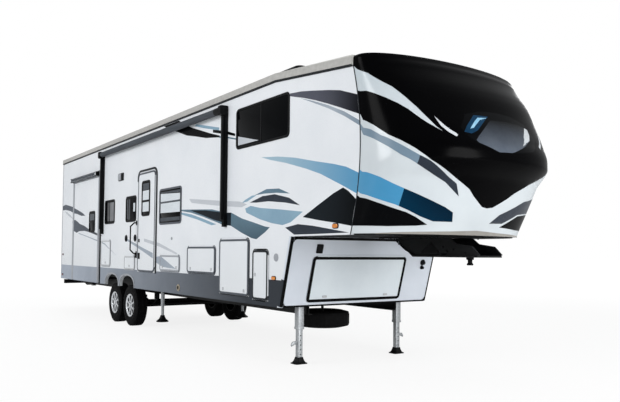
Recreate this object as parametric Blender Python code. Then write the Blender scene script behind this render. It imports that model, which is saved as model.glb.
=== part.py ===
# Fifth wheel trailer, parked on its tyres and its front landing jacks.
# Lengths are metres. X runs forward from the rear wall, Y to the left, Z up from the ground.

import math

import bmesh
import bpy
from mathutils import Matrix, Vector

RIGHT, LEFT = -1, 1

# Clearances
GAP = 0.0003
DOOR_GAP = 0.008
SLIDE_GAP = 0.010

# Body shell
BODY_WIDTH = 2.50
WALL = 0.05
SKIRT_Z = 0.74
FLOOR_TOP_Z = 1.03
FLOOR_THICKNESS = 0.13
WALL_TOP_Z = 3.59
ROOF_THICKNESS = 0.10
ROOF_OVERHANG = 0.012
ROOF_BEND_X = 10.05
ROOF_FALL = 0.15
DECK_Z = 1.62
DECK_THICKNESS = 0.09
DECK_REAR_X = 10.12
FRONT_WALL_FOOT_X = 10.19
FRONT_WALL_TOP_X = 10.44
FRONT_CORNER_RADIUS = 0.04

# Front cap: the seam with the side walls bows forward, and the nose is a wedge in profile
SEAM_X = 11.58
SEAM_BOW = 0.16
CAP_COLLAR = 0.05
CAP_TOP_Z = 3.55
ROOF_END_Z = WALL_TOP_Z - ROOF_FALL
CAP_COLUMNS = 18
CAP_ROWS = (
    # height, nose x, fullness of the plan curve
    (DECK_Z, 12.20, 2.0),
    (1.92, 12.37, 2.1),
    (2.20, 12.53, 2.25),
    (2.36, 12.68, 2.4),
    (2.48, 12.69, 2.4),
    (2.62, 12.63, 2.4),
    (2.90, 12.50, 2.3),
    (3.15, 12.37, 2.2),
    (ROOF_END_Z, 12.14, 2.05),
    (CAP_TOP_Z, 12.04, 2.0),
)
WINDSCREEN = ((-0.60, 2.66), (-0.42, 2.57), (0.42, 2.57), (0.60, 2.66), (0.46, 2.98), (-0.46, 2.98))
WINDSCREEN_THICKNESS = 0.012

# Running gear
TYRE_RADIUS = 0.391
TYRE_WIDTH = 0.235
RIM_RADIUS = 0.2035
TRACK_HALF = 1.075
AXLE_X = {"rear": 3.87, "front": 4.74}
AXLE_RADIUS = 0.04
SPINDLE_RADIUS = 0.028
SPINDLE_CLEARANCE = 0.0008
SPRING_REACH = 0.30
SPRING_WIDTH = 0.05
SPRING_PACK = 0.045
HANGER_FOOT_Z = 0.52
HANGER_LENGTH = 0.09
SPOKES = 8
WHEEL_STEPS = 24
RAIL_Y = 0.288 * BODY_WIDTH
SPRING_OUTBOARD = 0.04  # springs stand this far outside the rails
SPRING_Y = RAIL_Y + SPRING_OUTBOARD
RAIL_WIDTH = 0.06
RAIL_FOOT_Z = 0.62
RAIL_REAR_X = 0.06
RAIL_FRONT_X = 10.10
FRAME_WEB = 0.010
SPARE_X = 9.37
SPARE_FOOT_Z = 0.37
SPARE_DISC = 0.012
JACK_X = 10.02
JACK_TUBE = 0.09
JACK_Y = RAIL_Y + RAIL_WIDTH / 2 + JACK_TUBE
JACK_LEG = 0.07
JACK_SLEEVE_Z = 0.44
JACK_LEVER_Z = 0.27
JACK_LEVER_REACH = 0.105
JACK_FOOT = (0.10, 0.125, 0.010)  # half length, half width, thickness
STABILISER_X = 5.52
STABILISER_FOOT_Z = 0.13
STABILISER_TUBE = 0.035
STABILISER_RAM = 0.026
STABILISER_CONE = (0.115, 0.040, 0.23)  # foot radius, top radius, height
BUMPER_SIZE = 0.10
BUMPER_Z = 0.66
BUMPER_HALF = 1.15

# Wheel arches: a round arc over each wheel, with a strip of wall left between the two
ARCH_CLEARANCE = 0.012
ARCH_STRIP = 0.072
ARCH_RISE = 0.22
ARCH_FULLNESS = 2.5
ARCH_STEPS = 8

# Frame members under the floor
CROSS_MEMBER_X = (0.20, 2.00, 3.10, 5.60, 7.20, 8.75, 9.85)
CROSS_MEMBER_WIDTH = 0.05
CARRIER_WIDTH = 0.06
CARRIER_POST = 0.02
CARRIER_DISC = 0.08

# Pin box and kingpin
PIN_X = 12.13
PIN_PLATE_Z = 1.385
PIN_LENGTH = 0.088
PIN_RADIUS = 0.0254
PIN_FLANGE_RADIUS = 0.0357
PIN_BOSS_RADIUS = 0.042
BOLSTER_THICKNESS = 0.016
BOLSTER_HALF = 0.24
PIN_STEPS = 20
PIN_BOX_HALF = 0.19
PIN_BOX_SKIN = 0.02
PIN_FLANGE = (11.02, 12.02, 0.36, 0.018)  # rear x, front x, half width, thickness
PIN_CHEEK = (
    # x, height over the plate, or None at the deck
    (11.10, None), (11.42, 0.0), (12.38, 0.0), (12.42, 0.03), (12.32, 0.12), (12.10, 0.15), (11.98, None))
PIN_WINDOW = ((11.56, 0.05), (11.86, 0.05), (11.72, 0.17))

# Doors: swing out about a barrel that lies on the wall beside the opening
DOOR_PROUD = 0.012
DOOR_DEPTH = 0.045
BARREL_RADIUS = 0.006
DOORS = (
    # name, side, rear x, foot z, front x, top z, corner radius, hinged edge
    ("entry_door", RIGHT, 5.30, 1.06, 6.12, 2.85, 0.09, "front"),
    ("baggage_door_right_1", RIGHT, 3.17, 1.12, 3.75, 1.64, 0.05, "top"),
    ("baggage_door_right_2", RIGHT, 4.60, 1.08, 5.15, 1.33, 0.05, "top"),
    ("baggage_door_right_3", RIGHT, 6.37, 1.10, 7.18, 1.36, 0.05, "top"),
    ("baggage_door_right_4", RIGHT, 7.48, 1.10, 8.44, 1.50, 0.06, "top"),
    ("baggage_door_right_5", RIGHT, 8.58, 0.84, 9.42, 1.60, 0.06, "top"),
    ("baggage_door_right_6", RIGHT, 9.53, 0.81, 9.91, 1.45, 0.06, "front"),
    ("baggage_door_left_1", LEFT, 9.00, 1.10, 9.91, 1.58, 0.06, "top"),
    ("baggage_door_left_2", LEFT, 3.40, 1.10, 4.35, 1.45, 0.05, "top"),
)
DOOR_WINDOW = (5.50, 2.08, 5.86, 2.68, 0.05)
STORAGE_DOOR = (-0.87, 0.70, 0.06, 0.66)  # right y, left y, foot and top along the slanted wall
STORAGE_CORNER = 0.05
DOOR_STEP = 0.003
DOOR_RIM = 0.028
LEAF_THICKNESS = 0.003
LEAF_SINK = 0.0008
LEAF_LAP = 0.02
HANDLE_X = 5.22
HANDLE_FOOT_Z = 1.38
HANDLE_TOP_Z = 1.95
HANDLE_REACH = 0.12
HANDLE_RADIUS = 0.013
HANDLE_BEND = 0.07

# Windows: a pane in the wall with a flange on its outer face
PANE_DEPTH = 0.03
FLANGE = 0.022
FLANGE_PROUD = 0.010
WINDOWS = (
    # name, side, rear x, foot z, front x, top z, mullions at
    ("window_right_1", RIGHT, 3.37, 2.00, 3.95, 2.45, (3.66,)),
    ("window_right_2", RIGHT, 4.64, 2.00, 5.16, 2.45, (4.90,)),
    ("window_right_3", RIGHT, 6.32, 1.90, 7.20, 2.47, (6.76,)),
    ("window_right_4", RIGHT, 9.05, 2.86, 10.36, 3.38, (9.70,)),
    ("window_left_1", LEFT, 9.05, 2.86, 10.36, 3.38, (9.70,)),
    ("window_left_2", LEFT, 3.60, 2.00, 4.20, 2.45, (3.90,)),
)
PANE_CORNER = 0.045
MULLION = 0.024

# Slide-outs: a fascia outside the wall and a room that runs through it
SLIDE_FOOT_Z = 0.75
SLIDE_TOP_Z = 3.12
SLIDE_FASCIA = 0.030
SLIDE_FLANGE = 0.05
SLIDE_DEPTH = 0.88
SLIDE_SHELL = 0.035
TOPPER_RADIUS = 0.05
TOPPER_INSET = 0.04
TOPPER_SEAT = 0.8  # share of its radius that the roller stands off the fascia
SLIDES = (
    # name, side, rear x, front x, window rear x, window foot z, window front x, window top z
    ("slide_out_right", RIGHT, 1.05, 3.05, 2.38, 1.85, 2.76, 2.27),
    ("slide_out_left", LEFT, 5.30, 8.55, 6.20, 1.90, 7.60, 2.60),
)

# Awning
AWNING_REAR_X = 3.24
AWNING_FRONT_X = 8.74
AWNING_Z = 3.44
AWNING_RADIUS = 0.055
AWNING_REACH = 0.075
ARM_FOOT_Z = 1.78
ARM_WIDTH = 0.075
ARM_DEPTH = 0.045

# Roof and rear fittings
ROOF_UNITS = (
    # name, rear x, right y, front x, left y, height, taper
    ("roof_air_conditioner", 8.66, -0.50, 9.40, 0.22, 0.43, 0.05),
    ("roof_vent", 6.60, -0.20, 7.00, 0.20, 0.10, 0.03),
)
ROOF_UNIT_CORNER = 0.08
LADDER_Y = 0.32 * BODY_WIDTH
LADDER_WIDTH = 0.36
LADDER_RADIUS = 0.0125
LADDER_STANDOFF = 0.10
LADDER_FOOT_Z = 1.05
LADDER_RUNGS = 7
LADDER_PITCH = 0.34
LAMP_Y = 1.02
LAMP_Z = 1.16
LAMP_SIZE = (0.20, 0.12, 0.022)  # width, height, depth

# Centre of the whole object's foot print, so that the frame's origin lies under it
REACH_REAR = -max(BUMPER_SIZE + GAP, LADDER_STANDOFF + LADDER_RADIUS)
REACH_FRONT = max(row[1] for row in CAP_ROWS)
REACH_LEFT = BODY_WIDTH / 2 + SLIDE_FASCIA + TOPPER_RADIUS * (1 + TOPPER_SEAT)
REACH_RIGHT = max(REACH_LEFT, BODY_WIDTH / 2 + AWNING_REACH + AWNING_RADIUS,
                  BODY_WIDTH / 2 + HANDLE_REACH + HANDLE_RADIUS)

# Worked out from the sizes above
SIDE_Y = BODY_WIDTH / 2
INNER_Y = SIDE_Y - WALL
FLOOR_FOOT_Z = FLOOR_TOP_Z - FLOOR_THICKNESS
AXES = {"X": (1, 2, 0), "Y": (0, 2, 1), "Z": (0, 1, 2)}  # first, second and extrusion axis


# Materials

FINISHES = {
    # name: colour, roughness, metallic
    "white_panel": ((0.86, 0.87, 0.88), 0.30, 0.0),
    "roof_membrane": ((0.80, 0.80, 0.79), 0.60, 0.0),
    "black_gelcoat": ((0.012, 0.013, 0.016), 0.15, 0.0),
    "silver_panel": ((0.68, 0.70, 0.72), 0.35, 0.3),
    "tinted_glass": ((0.015, 0.018, 0.022), 0.05, 0.0),
    "black_steel": ((0.02, 0.02, 0.022), 0.45, 0.4),
    "zinc_steel": ((0.55, 0.56, 0.57), 0.35, 0.9),
    "tyre_rubber": ((0.015, 0.015, 0.016), 0.80, 0.0),
    "cast_alloy": ((0.60, 0.61, 0.63), 0.25, 1.0),
    "black_plastic": ((0.02, 0.02, 0.02), 0.50, 0.0),
    "floor_board": ((0.30, 0.24, 0.17), 0.60, 0.0),
    "red_lens": ((0.55, 0.01, 0.01), 0.15, 0.0),
    "polished_alloy": ((0.75, 0.76, 0.77), 0.20, 1.0),
}


def finish(name):
    material = bpy.data.materials.get(name)
    if material:
        return material
    colour, roughness, metallic = FINISHES[name]
    material = bpy.data.materials.new(name)
    material.use_nodes = True
    shader = material.node_tree.nodes["Principled BSDF"]
    shader.inputs["Base Color"].default_value = (*colour, 1.0)
    shader.inputs["Roughness"].default_value = roughness
    shader.inputs["Metallic"].default_value = metallic
    return material


# Outlines and solids

def rounded(u0, v0, u1, v1, radius, steps=2):
    """Corner points of a rectangle with round corners, anticlockwise."""
    centres = ((u1 - radius, v1 - radius), (u0 + radius, v1 - radius),
               (u0 + radius, v0 + radius), (u1 - radius, v0 + radius))
    points = []
    for corner, (u, v) in enumerate(centres):
        for step in range(steps + 1):
            angle = math.pi / 2 * (corner + step / steps)
            points.append((u + radius * math.cos(angle), v + radius * math.sin(angle)))
    return points


def rectangle(u0, v0, u1, v1):
    return [(u0, v0), (u1, v0), (u1, v1), (u0, v1)]


def widened(corners, amount):
    """A rectangle's corners, moved out on every side."""
    u0, v0, u1, v1 = corners
    return u0 - amount, v0 - amount, u1 + amount, v1 + amount


def circle(u, v, radius, count):
    turns = [2 * math.pi * step / count for step in range(count)]
    return [(u + radius * math.cos(turn), v + radius * math.sin(turn)) for turn in turns]


def place(first, second, along, axis):
    point = [0.0, 0.0, 0.0]
    for where, value in zip(AXES[axis], (first, second, along)):
        point[where] = value
    return point


def prism(bm, points, axis, start, end):
    """Extrudes an outline along an axis and returns the face at its end."""
    face = bm.faces.new([bm.verts.new(place(u, v, start, axis)) for u, v in points])
    made = bmesh.ops.extrude_face_region(bm, geom=[face])["geom"]
    bmesh.ops.translate(bm, verts=[g for g in made if isinstance(g, bmesh.types.BMVert)],
                        vec=place(0, 0, end - start, axis))
    return next(g for g in made if isinstance(g, bmesh.types.BMFace))


def block(bm, x0, y0, z0, x1, y1, z1):
    return prism(bm, rectangle(x0, y0, x1, y1), "Z", z0, z1)


def step_face(bm, face, inset, travel):
    """Insets a face, then pushes the middle along travel."""
    bmesh.ops.inset_region(bm, faces=[face], thickness=inset, use_even_offset=True)
    made = bmesh.ops.extrude_discrete_faces(bm, faces=[face])["faces"][0]
    bmesh.ops.translate(bm, verts=made.verts, vec=travel)
    return made


def turned(bm, profile, axis, centre, steps):
    """Spins (radius, along) points about an axis. Open profiles start and end on the axis."""
    first, _, along = AXES[axis]
    verts = []
    for radius, distance in profile:
        point = [0.0, 0.0, 0.0]
        point[first] = radius
        point[along] = distance
        verts.append(bm.verts.new(point))
    edges = [bm.edges.new(pair) for pair in zip(verts, verts[1:])]
    if profile[0][0] > 0:
        edges.append(bm.edges.new((verts[-1], verts[0])))
    direction = [0.0, 0.0, 0.0]
    direction[along] = 1.0
    bmesh.ops.spin(bm, geom=verts + edges, cent=(0, 0, 0), axis=direction,
                   angle=2 * math.pi, steps=steps, use_merge=True)
    bmesh.ops.remove_doubles(bm, verts=bm.verts, dist=1e-5)
    bmesh.ops.translate(bm, verts=bm.verts, vec=centre)


def rod(bm, start, end, radius, count=10, end_radius=None):
    """A round bar between two points, or a cone where its end has a radius of its own."""
    start, end = Vector(start), Vector(end)
    turn = (end - start).to_track_quat("Z", "Y").to_matrix().to_4x4()
    matrix = Matrix.Translation((start + end) / 2) @ turn
    bmesh.ops.create_cone(bm, cap_ends=True, segments=count, radius1=radius, radius2=end_radius or radius,
                          depth=(end - start).length, matrix=matrix)


def tube(bm, points, radius, count=10):
    """A round bar along a bent line, mitred at its bends, with flat ends."""
    points = [Vector(point) for point in points]
    rings = []
    for index, point in enumerate(points):
        before = (point - points[index - 1]).normalized() if index else None
        after = (points[index + 1] - point).normalized() if index + 1 < len(points) else None
        heading = ((before or after) + (after or before)).normalized()
        side = Vector((1, 0, 0)) if abs(heading.x) < 0.9 else Vector((0, 1, 0))
        across = heading.cross(side).normalized()
        other = heading.cross(across)
        bend = 1 / max(0.5, heading.dot(before or after))
        ring = []
        for turn in range(count):
            angle = 2 * math.pi * turn / count
            offset = across * math.cos(angle) * bend + other * math.sin(angle)
            ring.append(bm.verts.new(point + offset * radius))
        rings.append(ring)
    for low, high in zip(rings, rings[1:]):
        for turn in range(count):
            following = (turn + 1) % count
            bm.faces.new((low[turn], low[following], high[following], high[turn]))
    bm.faces.new(rings[0][::-1])
    bm.faces.new(rings[-1])


# Objects

TRAILER = None


def mesh_of(name, bm, origin):
    bmesh.ops.recalc_face_normals(bm, faces=bm.faces)
    mesh = bpy.data.meshes.new(name)
    bm.to_mesh(mesh)
    bm.free()
    mesh.transform(Matrix.Translation(-Vector(origin)))
    return mesh


def solid(name, bm, surface, origin=(0, 0, 0), smooth=False):
    """One named sub-part. Its origin is given in the trailer's own frame, as its points are."""
    mesh = mesh_of(name, bm, origin)
    mesh.materials.append(finish(surface))
    if smooth:
        mesh.shade_smooth()
        mesh.set_sharp_from_angle(angle=math.radians(32))
    part = bpy.data.objects.new(name, mesh)
    bpy.context.collection.objects.link(part)
    part.parent = TRAILER
    part.location = origin
    return part


def helper(name, bm):
    """A body that only cuts or joins others."""
    part = bpy.data.objects.new(name, mesh_of(name, bm, (0, 0, 0)))
    bpy.context.collection.objects.link(part)
    part.parent = TRAILER
    part.hide_render = True
    part.display_type = "WIRE"
    return part


def combine(part, operation, *others):
    for other in others:
        modifier = part.modifiers.new(f"{operation.lower()} {other.name}", "BOOLEAN")
        modifier.operation = operation
        modifier.object = other
        modifier.solver = "EXACT"


def fused(name, shapes, surface, origin=(0, 0, 0), smooth=False):
    """One body from overlapping shapes, each a function that draws into a bmesh."""
    bodies = []
    for draw in shapes:
        bm = bmesh.new()
        draw(bm)
        bodies.append(bm)
    part = solid(name, bodies[0], surface, origin, smooth)
    others = [helper(f"{name} piece {index}", bm) for index, bm in enumerate(bodies[1:], 1)]
    combine(part, "UNION", *others)
    return part


# Body shell

def front_wall_x(z):
    """Outer face of the slanted lower front wall at a height."""
    share = (z - SKIRT_Z) / (DECK_Z - SKIRT_Z)
    return FRONT_WALL_FOOT_X + share * (FRONT_WALL_TOP_X - FRONT_WALL_FOOT_X)


def seam_x(z):
    """Where the side wall ends and the cap starts at a height. It is upright beside the roof."""
    middle = (DECK_Z + CAP_TOP_Z) / 2
    share = (min(z, ROOF_END_Z) - middle) / (CAP_TOP_Z - middle)
    return SEAM_X + SEAM_BOW * (1 - share * share)


def side_openings(side):
    """One cutter for all openings in a side wall."""
    bm = bmesh.new()
    outlines = [wheel_arch(x) for x in AXLE_X.values()]
    for _, where, *corners, radius, _ in DOORS:
        if where == side:
            outlines.append(rounded(*widened(corners, DOOR_GAP), radius + DOOR_GAP))
    for _, where, *corners, _ in WINDOWS:
        if where == side:
            outlines.append(rounded(*widened(corners, GAP), PANE_CORNER + GAP))
    for _, where, x0, x1, *_ in SLIDES:
        if where == side:
            edge = SLIDE_FLANGE - SLIDE_GAP
            outlines.append(rectangle(x0 + edge, FLOOR_TOP_Z + GAP, x1 - edge, SLIDE_TOP_Z - edge))
    for outline in outlines:
        prism(bm, outline, "Y", side * (INNER_Y - WALL), side * (SIDE_Y + WALL))
    return helper(f"openings {'right' if side == RIGHT else 'left'}", bm)


def wheel_arch(x):
    """Rounded arch over one wheel, open below the skirt."""
    middle = sum(AXLE_X.values()) / 2
    outer = TYRE_RADIUS + ARCH_CLEARANCE
    strip = ARCH_STRIP / 2
    low, high = (x - outer, middle - strip) if x < middle else (middle + strip, x + outer)
    points = [(low, SKIRT_Z - WALL), (high, SKIRT_Z - WALL)]
    for step in range(ARCH_STEPS + 1):
        turn = math.pi * step / ARCH_STEPS
        along = math.copysign(abs(math.cos(turn)) ** (2 / ARCH_FULLNESS), math.cos(turn))
        up = math.sin(turn) ** (2 / ARCH_FULLNESS) if 0 < step < ARCH_STEPS else 0
        points.append(((low + high) / 2 + along * (high - low) / 2, SKIRT_Z + up * ARCH_RISE))
    return points


def build_side_wall(side):
    name = "side_wall_right" if side == RIGHT else "side_wall_left"
    slant = WALL + GAP
    outline = [(0, SKIRT_Z), (front_wall_x(SKIRT_Z) - slant, SKIRT_Z),
               (front_wall_x(DECK_Z) - slant, DECK_Z)]
    heights = [row[0] for row in CAP_ROWS if row[0] <= ROOF_END_Z]
    outline += [(seam_x(z) - GAP, z) for z in heights[:-1]]
    outline.append((seam_x(heights[-1]) - GAP, heights[-1] - GAP))
    outline += [(ROOF_BEND_X, WALL_TOP_Z - GAP), (0, WALL_TOP_Z - GAP)]
    bm = bmesh.new()
    prism(bm, outline, "Y", side * INNER_Y, side * SIDE_Y)
    wall = solid(name, bm, "white_panel")
    combine(wall, "DIFFERENCE", side_openings(side))


def build_shell():
    inner = INNER_Y - GAP
    bm = bmesh.new()
    block(bm, 0, -inner, SKIRT_Z, WALL, inner, WALL_TOP_Z - GAP)
    solid("rear_wall", bm, "white_panel")

    bm = bmesh.new()
    front = front_wall_x(FLOOR_FOOT_Z) - WALL - GAP
    block(bm, WALL + GAP, -inner, FLOOR_FOOT_Z, front, inner, FLOOR_TOP_Z)
    solid("floor", bm, "floor_board")

    bm = bmesh.new()
    top = WALL_TOP_Z + ROOF_THICKNESS
    roof = [(-ROOF_OVERHANG, WALL_TOP_Z), (ROOF_BEND_X, WALL_TOP_Z), (seam_x(ROOF_END_Z) - GAP, ROOF_END_Z),
            (seam_x(CAP_TOP_Z) - GAP, CAP_TOP_Z), (ROOF_BEND_X, top), (-ROOF_OVERHANG, top)]
    edge = SIDE_Y + ROOF_OVERHANG
    prism(bm, roof, "Y", -edge, edge)
    solid("roof", bm, "roof_membrane")

    bm = bmesh.new()
    slope = [(front_wall_x(SKIRT_Z), SKIRT_Z), (front_wall_x(DECK_Z), DECK_Z - GAP)]
    slope += [(x - WALL, z) for x, z in reversed(slope)]
    prism(bm, slope, "Y", -SIDE_Y, SIDE_Y)
    corners = [edge for edge in bm.edges if is_front_corner(edge)]
    bmesh.ops.bevel(bm, geom=corners, offset=FRONT_CORNER_RADIUS, segments=4, profile=0.5,
                    affect="EDGES")
    wall = solid("front_lower_wall", bm, "silver_panel", smooth=True)
    cut = bmesh.new()
    right, left, foot, top = STORAGE_DOOR
    outline = rounded(*widened((right, foot, left, top), DOOR_GAP), STORAGE_CORNER + DOOR_GAP)
    prism(cut, outline, "X", -2 * WALL, WALL)
    bmesh.ops.transform(cut, verts=cut.verts, matrix=slanted())
    combine(wall, "DIFFERENCE", helper("storage opening", cut))

    bm = bmesh.new()
    deck = cap_plan(*CAP_ROWS[0], WALL + GAP * 4)
    outline = [(DECK_REAR_X, -inner)] + [(x, y) for x, y in deck] + [(DECK_REAR_X, inner)]
    prism(bm, outline, "Z", DECK_Z, DECK_Z + DECK_THICKNESS)
    solid("upper_deck", bm, "floor_board")


def is_front_corner(edge):
    low, high = edge.verts[0].co, edge.verts[1].co
    outside = abs(abs(low.y) - SIDE_Y) < GAP and abs(low.y - high.y) < GAP
    return outside and all(abs(point.x - front_wall_x(point.z)) < WALL / 2 for point in (low, high))


def slanted():
    """Places points drawn on a flat front wall, x out and z up from the skirt, on the slanted one."""
    lean = math.atan2(FRONT_WALL_TOP_X - FRONT_WALL_FOOT_X, DECK_Z - SKIRT_Z)
    return Matrix.Translation((FRONT_WALL_FOOT_X, 0, SKIRT_Z)) @ Matrix.Rotation(lean, 4, "Y")


# Front cap

def cap_plan(z, nose_x, fullness, inset):
    """Plan of the cap at a height, from its right seam round the nose to its left seam."""
    half = SIDE_Y - inset
    start = seam_x(z) + CAP_COLLAR
    reach = nose_x - inset - start
    points = [(seam_x(z), -half)]
    for column in range(CAP_COLUMNS + 1):
        angle = math.pi * (column / CAP_COLUMNS - 0.5)
        y = math.copysign(abs(math.sin(angle)) ** (2 / fullness), angle) * half
        x = start + reach * max(0.0, math.cos(angle)) ** (2 / fullness)
        points.append((x, y))
    return points + [(seam_x(z), half)]


def cap_shell(bm, thickness, inset=0.0):
    """Lofts a U-shaped wall through the rows of the cap."""
    rings = []
    for z, nose_x, fullness in CAP_ROWS:
        outer = cap_plan(z, nose_x, fullness, inset)
        inner = cap_plan(z, nose_x, fullness, inset + thickness)
        ring = [bm.verts.new((x, y, z)) for x, y in outer + inner[::-1]]
        rings.append([bm.edges.new((ring[i], ring[i - 1])) for i in range(len(ring))])
    for low, high in zip(rings, rings[1:]):
        bmesh.ops.bridge_loops(bm, edges=low + high)
    for ring in (rings[0], rings[-1]):
        bmesh.ops.edgeloop_fill(bm, edges=ring)


def build_cap():
    bm = bmesh.new()
    cap_shell(bm, WALL)
    cap = solid("front_cap", bm, "black_gelcoat", smooth=True)
    lid = bmesh.new()
    plan = cap_plan(*CAP_ROWS[-1], WALL / 2)
    prism(lid, plan, "Z", CAP_TOP_Z - WALL - 0.004, CAP_TOP_Z - 0.004)
    combine(cap, "UNION", helper("cap lid", lid))
    opening = bmesh.new()
    prism(opening, WINDSCREEN, "X", SEAM_X + 0.3, REACH_FRONT + WALL)
    combine(cap, "DIFFERENCE", helper("windscreen opening", opening))

    glass = bmesh.new()
    cap_shell(glass, WINDSCREEN_THICKNESS, 0.004)
    pane = solid("windscreen", glass, "tinted_glass", smooth=True)
    inside = bmesh.new()
    middle = sum(z for _, z in WINDSCREEN) / len(WINDSCREEN)
    trim = 1 - 0.002
    smaller = [(y * trim, middle + (z - middle) * trim) for y, z in WINDSCREEN]
    prism(inside, smaller, "X", SEAM_X + 0.3, REACH_FRONT + WALL)
    combine(pane, "INTERSECT", helper("windscreen outline", inside))


# Doors

def door_origin(side, x0, z0, x1, z1, hinge):
    """A point on the hinge's axis, in the middle of the hinged edge."""
    y = side * (SIDE_Y + BARREL_RADIUS + GAP)
    reach = DOOR_GAP + BARREL_RADIUS
    if hinge == "front":
        return (x1 + reach, y, (z0 + z1) / 2)
    return ((x0 + x1) / 2, y, z1 + reach)


def build_door(name, side, x0, z0, x1, z1, radius, hinge):
    origin = Vector(door_origin(side, x0, z0, x1, z1, hinge))
    axis = "Z" if hinge == "front" else "X"
    half = ((z1 - z0) if hinge == "front" else (x1 - x0)) / 2 - radius

    def panel(bm):
        outer = side * (SIDE_Y + DOOR_PROUD)
        face = prism(bm, rounded(x0, z0, x1, z1, radius), "Y", outer - side * DOOR_DEPTH, outer)
        step_face(bm, face, DOOR_RIM, (0, -side * DOOR_STEP, 0))

    def leaf(bm):
        outer = side * (SIDE_Y + DOOR_PROUD - LEAF_SINK)
        low, high = sorted((outer - side * LEAF_THICKNESS, outer))
        grip = DOOR_GAP + BARREL_RADIUS + LEAF_LAP
        if hinge == "front":
            block(bm, origin.x - grip, low, origin.z - half, origin.x, high, origin.z + half)
        else:
            block(bm, origin.x - half, low, origin.z - grip, origin.x + half, high, origin.z)

    def barrel(bm):
        shift = Vector((0, 0, half)) if axis == "Z" else Vector((half, 0, 0))
        rod(bm, origin - shift, origin + shift, BARREL_RADIUS)

    door = fused(name, (panel, leaf, barrel), "white_panel", origin)
    if name == "entry_door":
        cut = bmesh.new()
        *corners, corner = DOOR_WINDOW
        prism(cut, rounded(*widened(corners, GAP), corner + GAP), "Y",
              side * (INNER_Y - WALL), side * (SIDE_Y + WALL))
        combine(door, "DIFFERENCE", helper("door window opening", cut))
        build_door_window(side, origin)


def build_door_window(side, origin):
    bm = bmesh.new()
    face = side * (SIDE_Y + DOOR_PROUD - DOOR_STEP)
    window_unit(bm, side, face, DOOR_DEPTH - DOOR_PROUD, *DOOR_WINDOW)
    solid("entry_door_window", bm, "tinted_glass", origin)


def build_storage_door():
    right, left, foot, top = STORAGE_DOOR
    lift = slanted()
    hinge = lift @ Vector((BARREL_RADIUS + GAP, (right + left) / 2, top + DOOR_GAP + BARREL_RADIUS))
    half = (left - right) / 2 - STORAGE_CORNER - DOOR_GAP

    def panel(bm):
        outline = rounded(right, foot, left, top, STORAGE_CORNER)
        face = prism(bm, outline, "X", DOOR_PROUD - DOOR_DEPTH, DOOR_PROUD)
        step_face(bm, face, DOOR_RIM, (-DOOR_STEP, 0, 0))
        bmesh.ops.transform(bm, verts=bm.verts, matrix=lift)

    def leaf(bm):
        middle = (right + left) / 2
        height = top + DOOR_GAP + BARREL_RADIUS
        foot_z = top - LEAF_LAP
        outer = DOOR_PROUD - LEAF_SINK
        block(bm, outer - LEAF_THICKNESS, middle - half, foot_z, outer, middle + half, height)
        bmesh.ops.transform(bm, verts=bm.verts, matrix=lift)

    def barrel(bm):
        rod(bm, hinge - Vector((0, half, 0)), hinge + Vector((0, half, 0)), BARREL_RADIUS)

    fused("front_storage_door", (panel, leaf, barrel), "silver_panel", hinge)


def build_handle():
    """Bowed grab handle behind the entry door, on two wall plates."""
    wall = -SIDE_Y - GAP
    bow = -SIDE_Y - HANDLE_REACH
    low, high = HANDLE_FOOT_Z, HANDLE_TOP_Z

    def grip(bm):
        path = [(HANDLE_X, wall - 0.006, low), (HANDLE_X, bow + HANDLE_BEND, low),
                (HANDLE_X, bow, low + HANDLE_BEND), (HANDLE_X, bow, high - HANDLE_BEND),
                (HANDLE_X, bow + HANDLE_BEND, high), (HANDLE_X, wall - 0.006, high)]
        tube(bm, path, HANDLE_RADIUS, 8)

    def plate(z):
        outline = rounded(HANDLE_X - 0.022, z - 0.045, HANDLE_X + 0.022, z + 0.045, 0.018)
        return lambda bm: prism(bm, outline, "Y", wall, wall - 0.010)

    fused("entry_grab_handle", (grip, plate(low), plate(high)), "black_plastic")


# Windows

def window_unit(bm, side, face, depth, x0, z0, x1, z1, corner):
    """A pane let into a wall, with a raised flange that laps the face, as one solid."""
    outline = rounded(*widened((x0, z0, x1, z1), FLANGE), corner + FLANGE)
    seat = face + side * GAP
    front = prism(bm, outline, "Y", seat, face + side * FLANGE_PROUD)
    back = next(f for f in bm.faces if all(abs(vert.co.y - seat) < 1e-6 for vert in f.verts))
    step_face(bm, back, FLANGE, (0, -side * depth, 0))
    step_face(bm, front, FLANGE + 0.008, (0, -side * 0.007, 0))


def build_window(name, side, x0, z0, x1, z1, mullions):
    bm = bmesh.new()
    face = side * SIDE_Y
    window_unit(bm, side, face, PANE_DEPTH, x0, z0, x1, z1, PANE_CORNER)
    window = solid(name, bm, "tinted_glass")
    low, high = sorted((face + side * 0.001, face + side * 0.008))
    for x in mullions:
        bar = bmesh.new()
        block(bar, x - MULLION / 2, low, z0 - 0.004, x + MULLION / 2, high, z1 + 0.004)
        combine(window, "UNION", helper(f"{name} mullion", bar))


# Slide-outs

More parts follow.
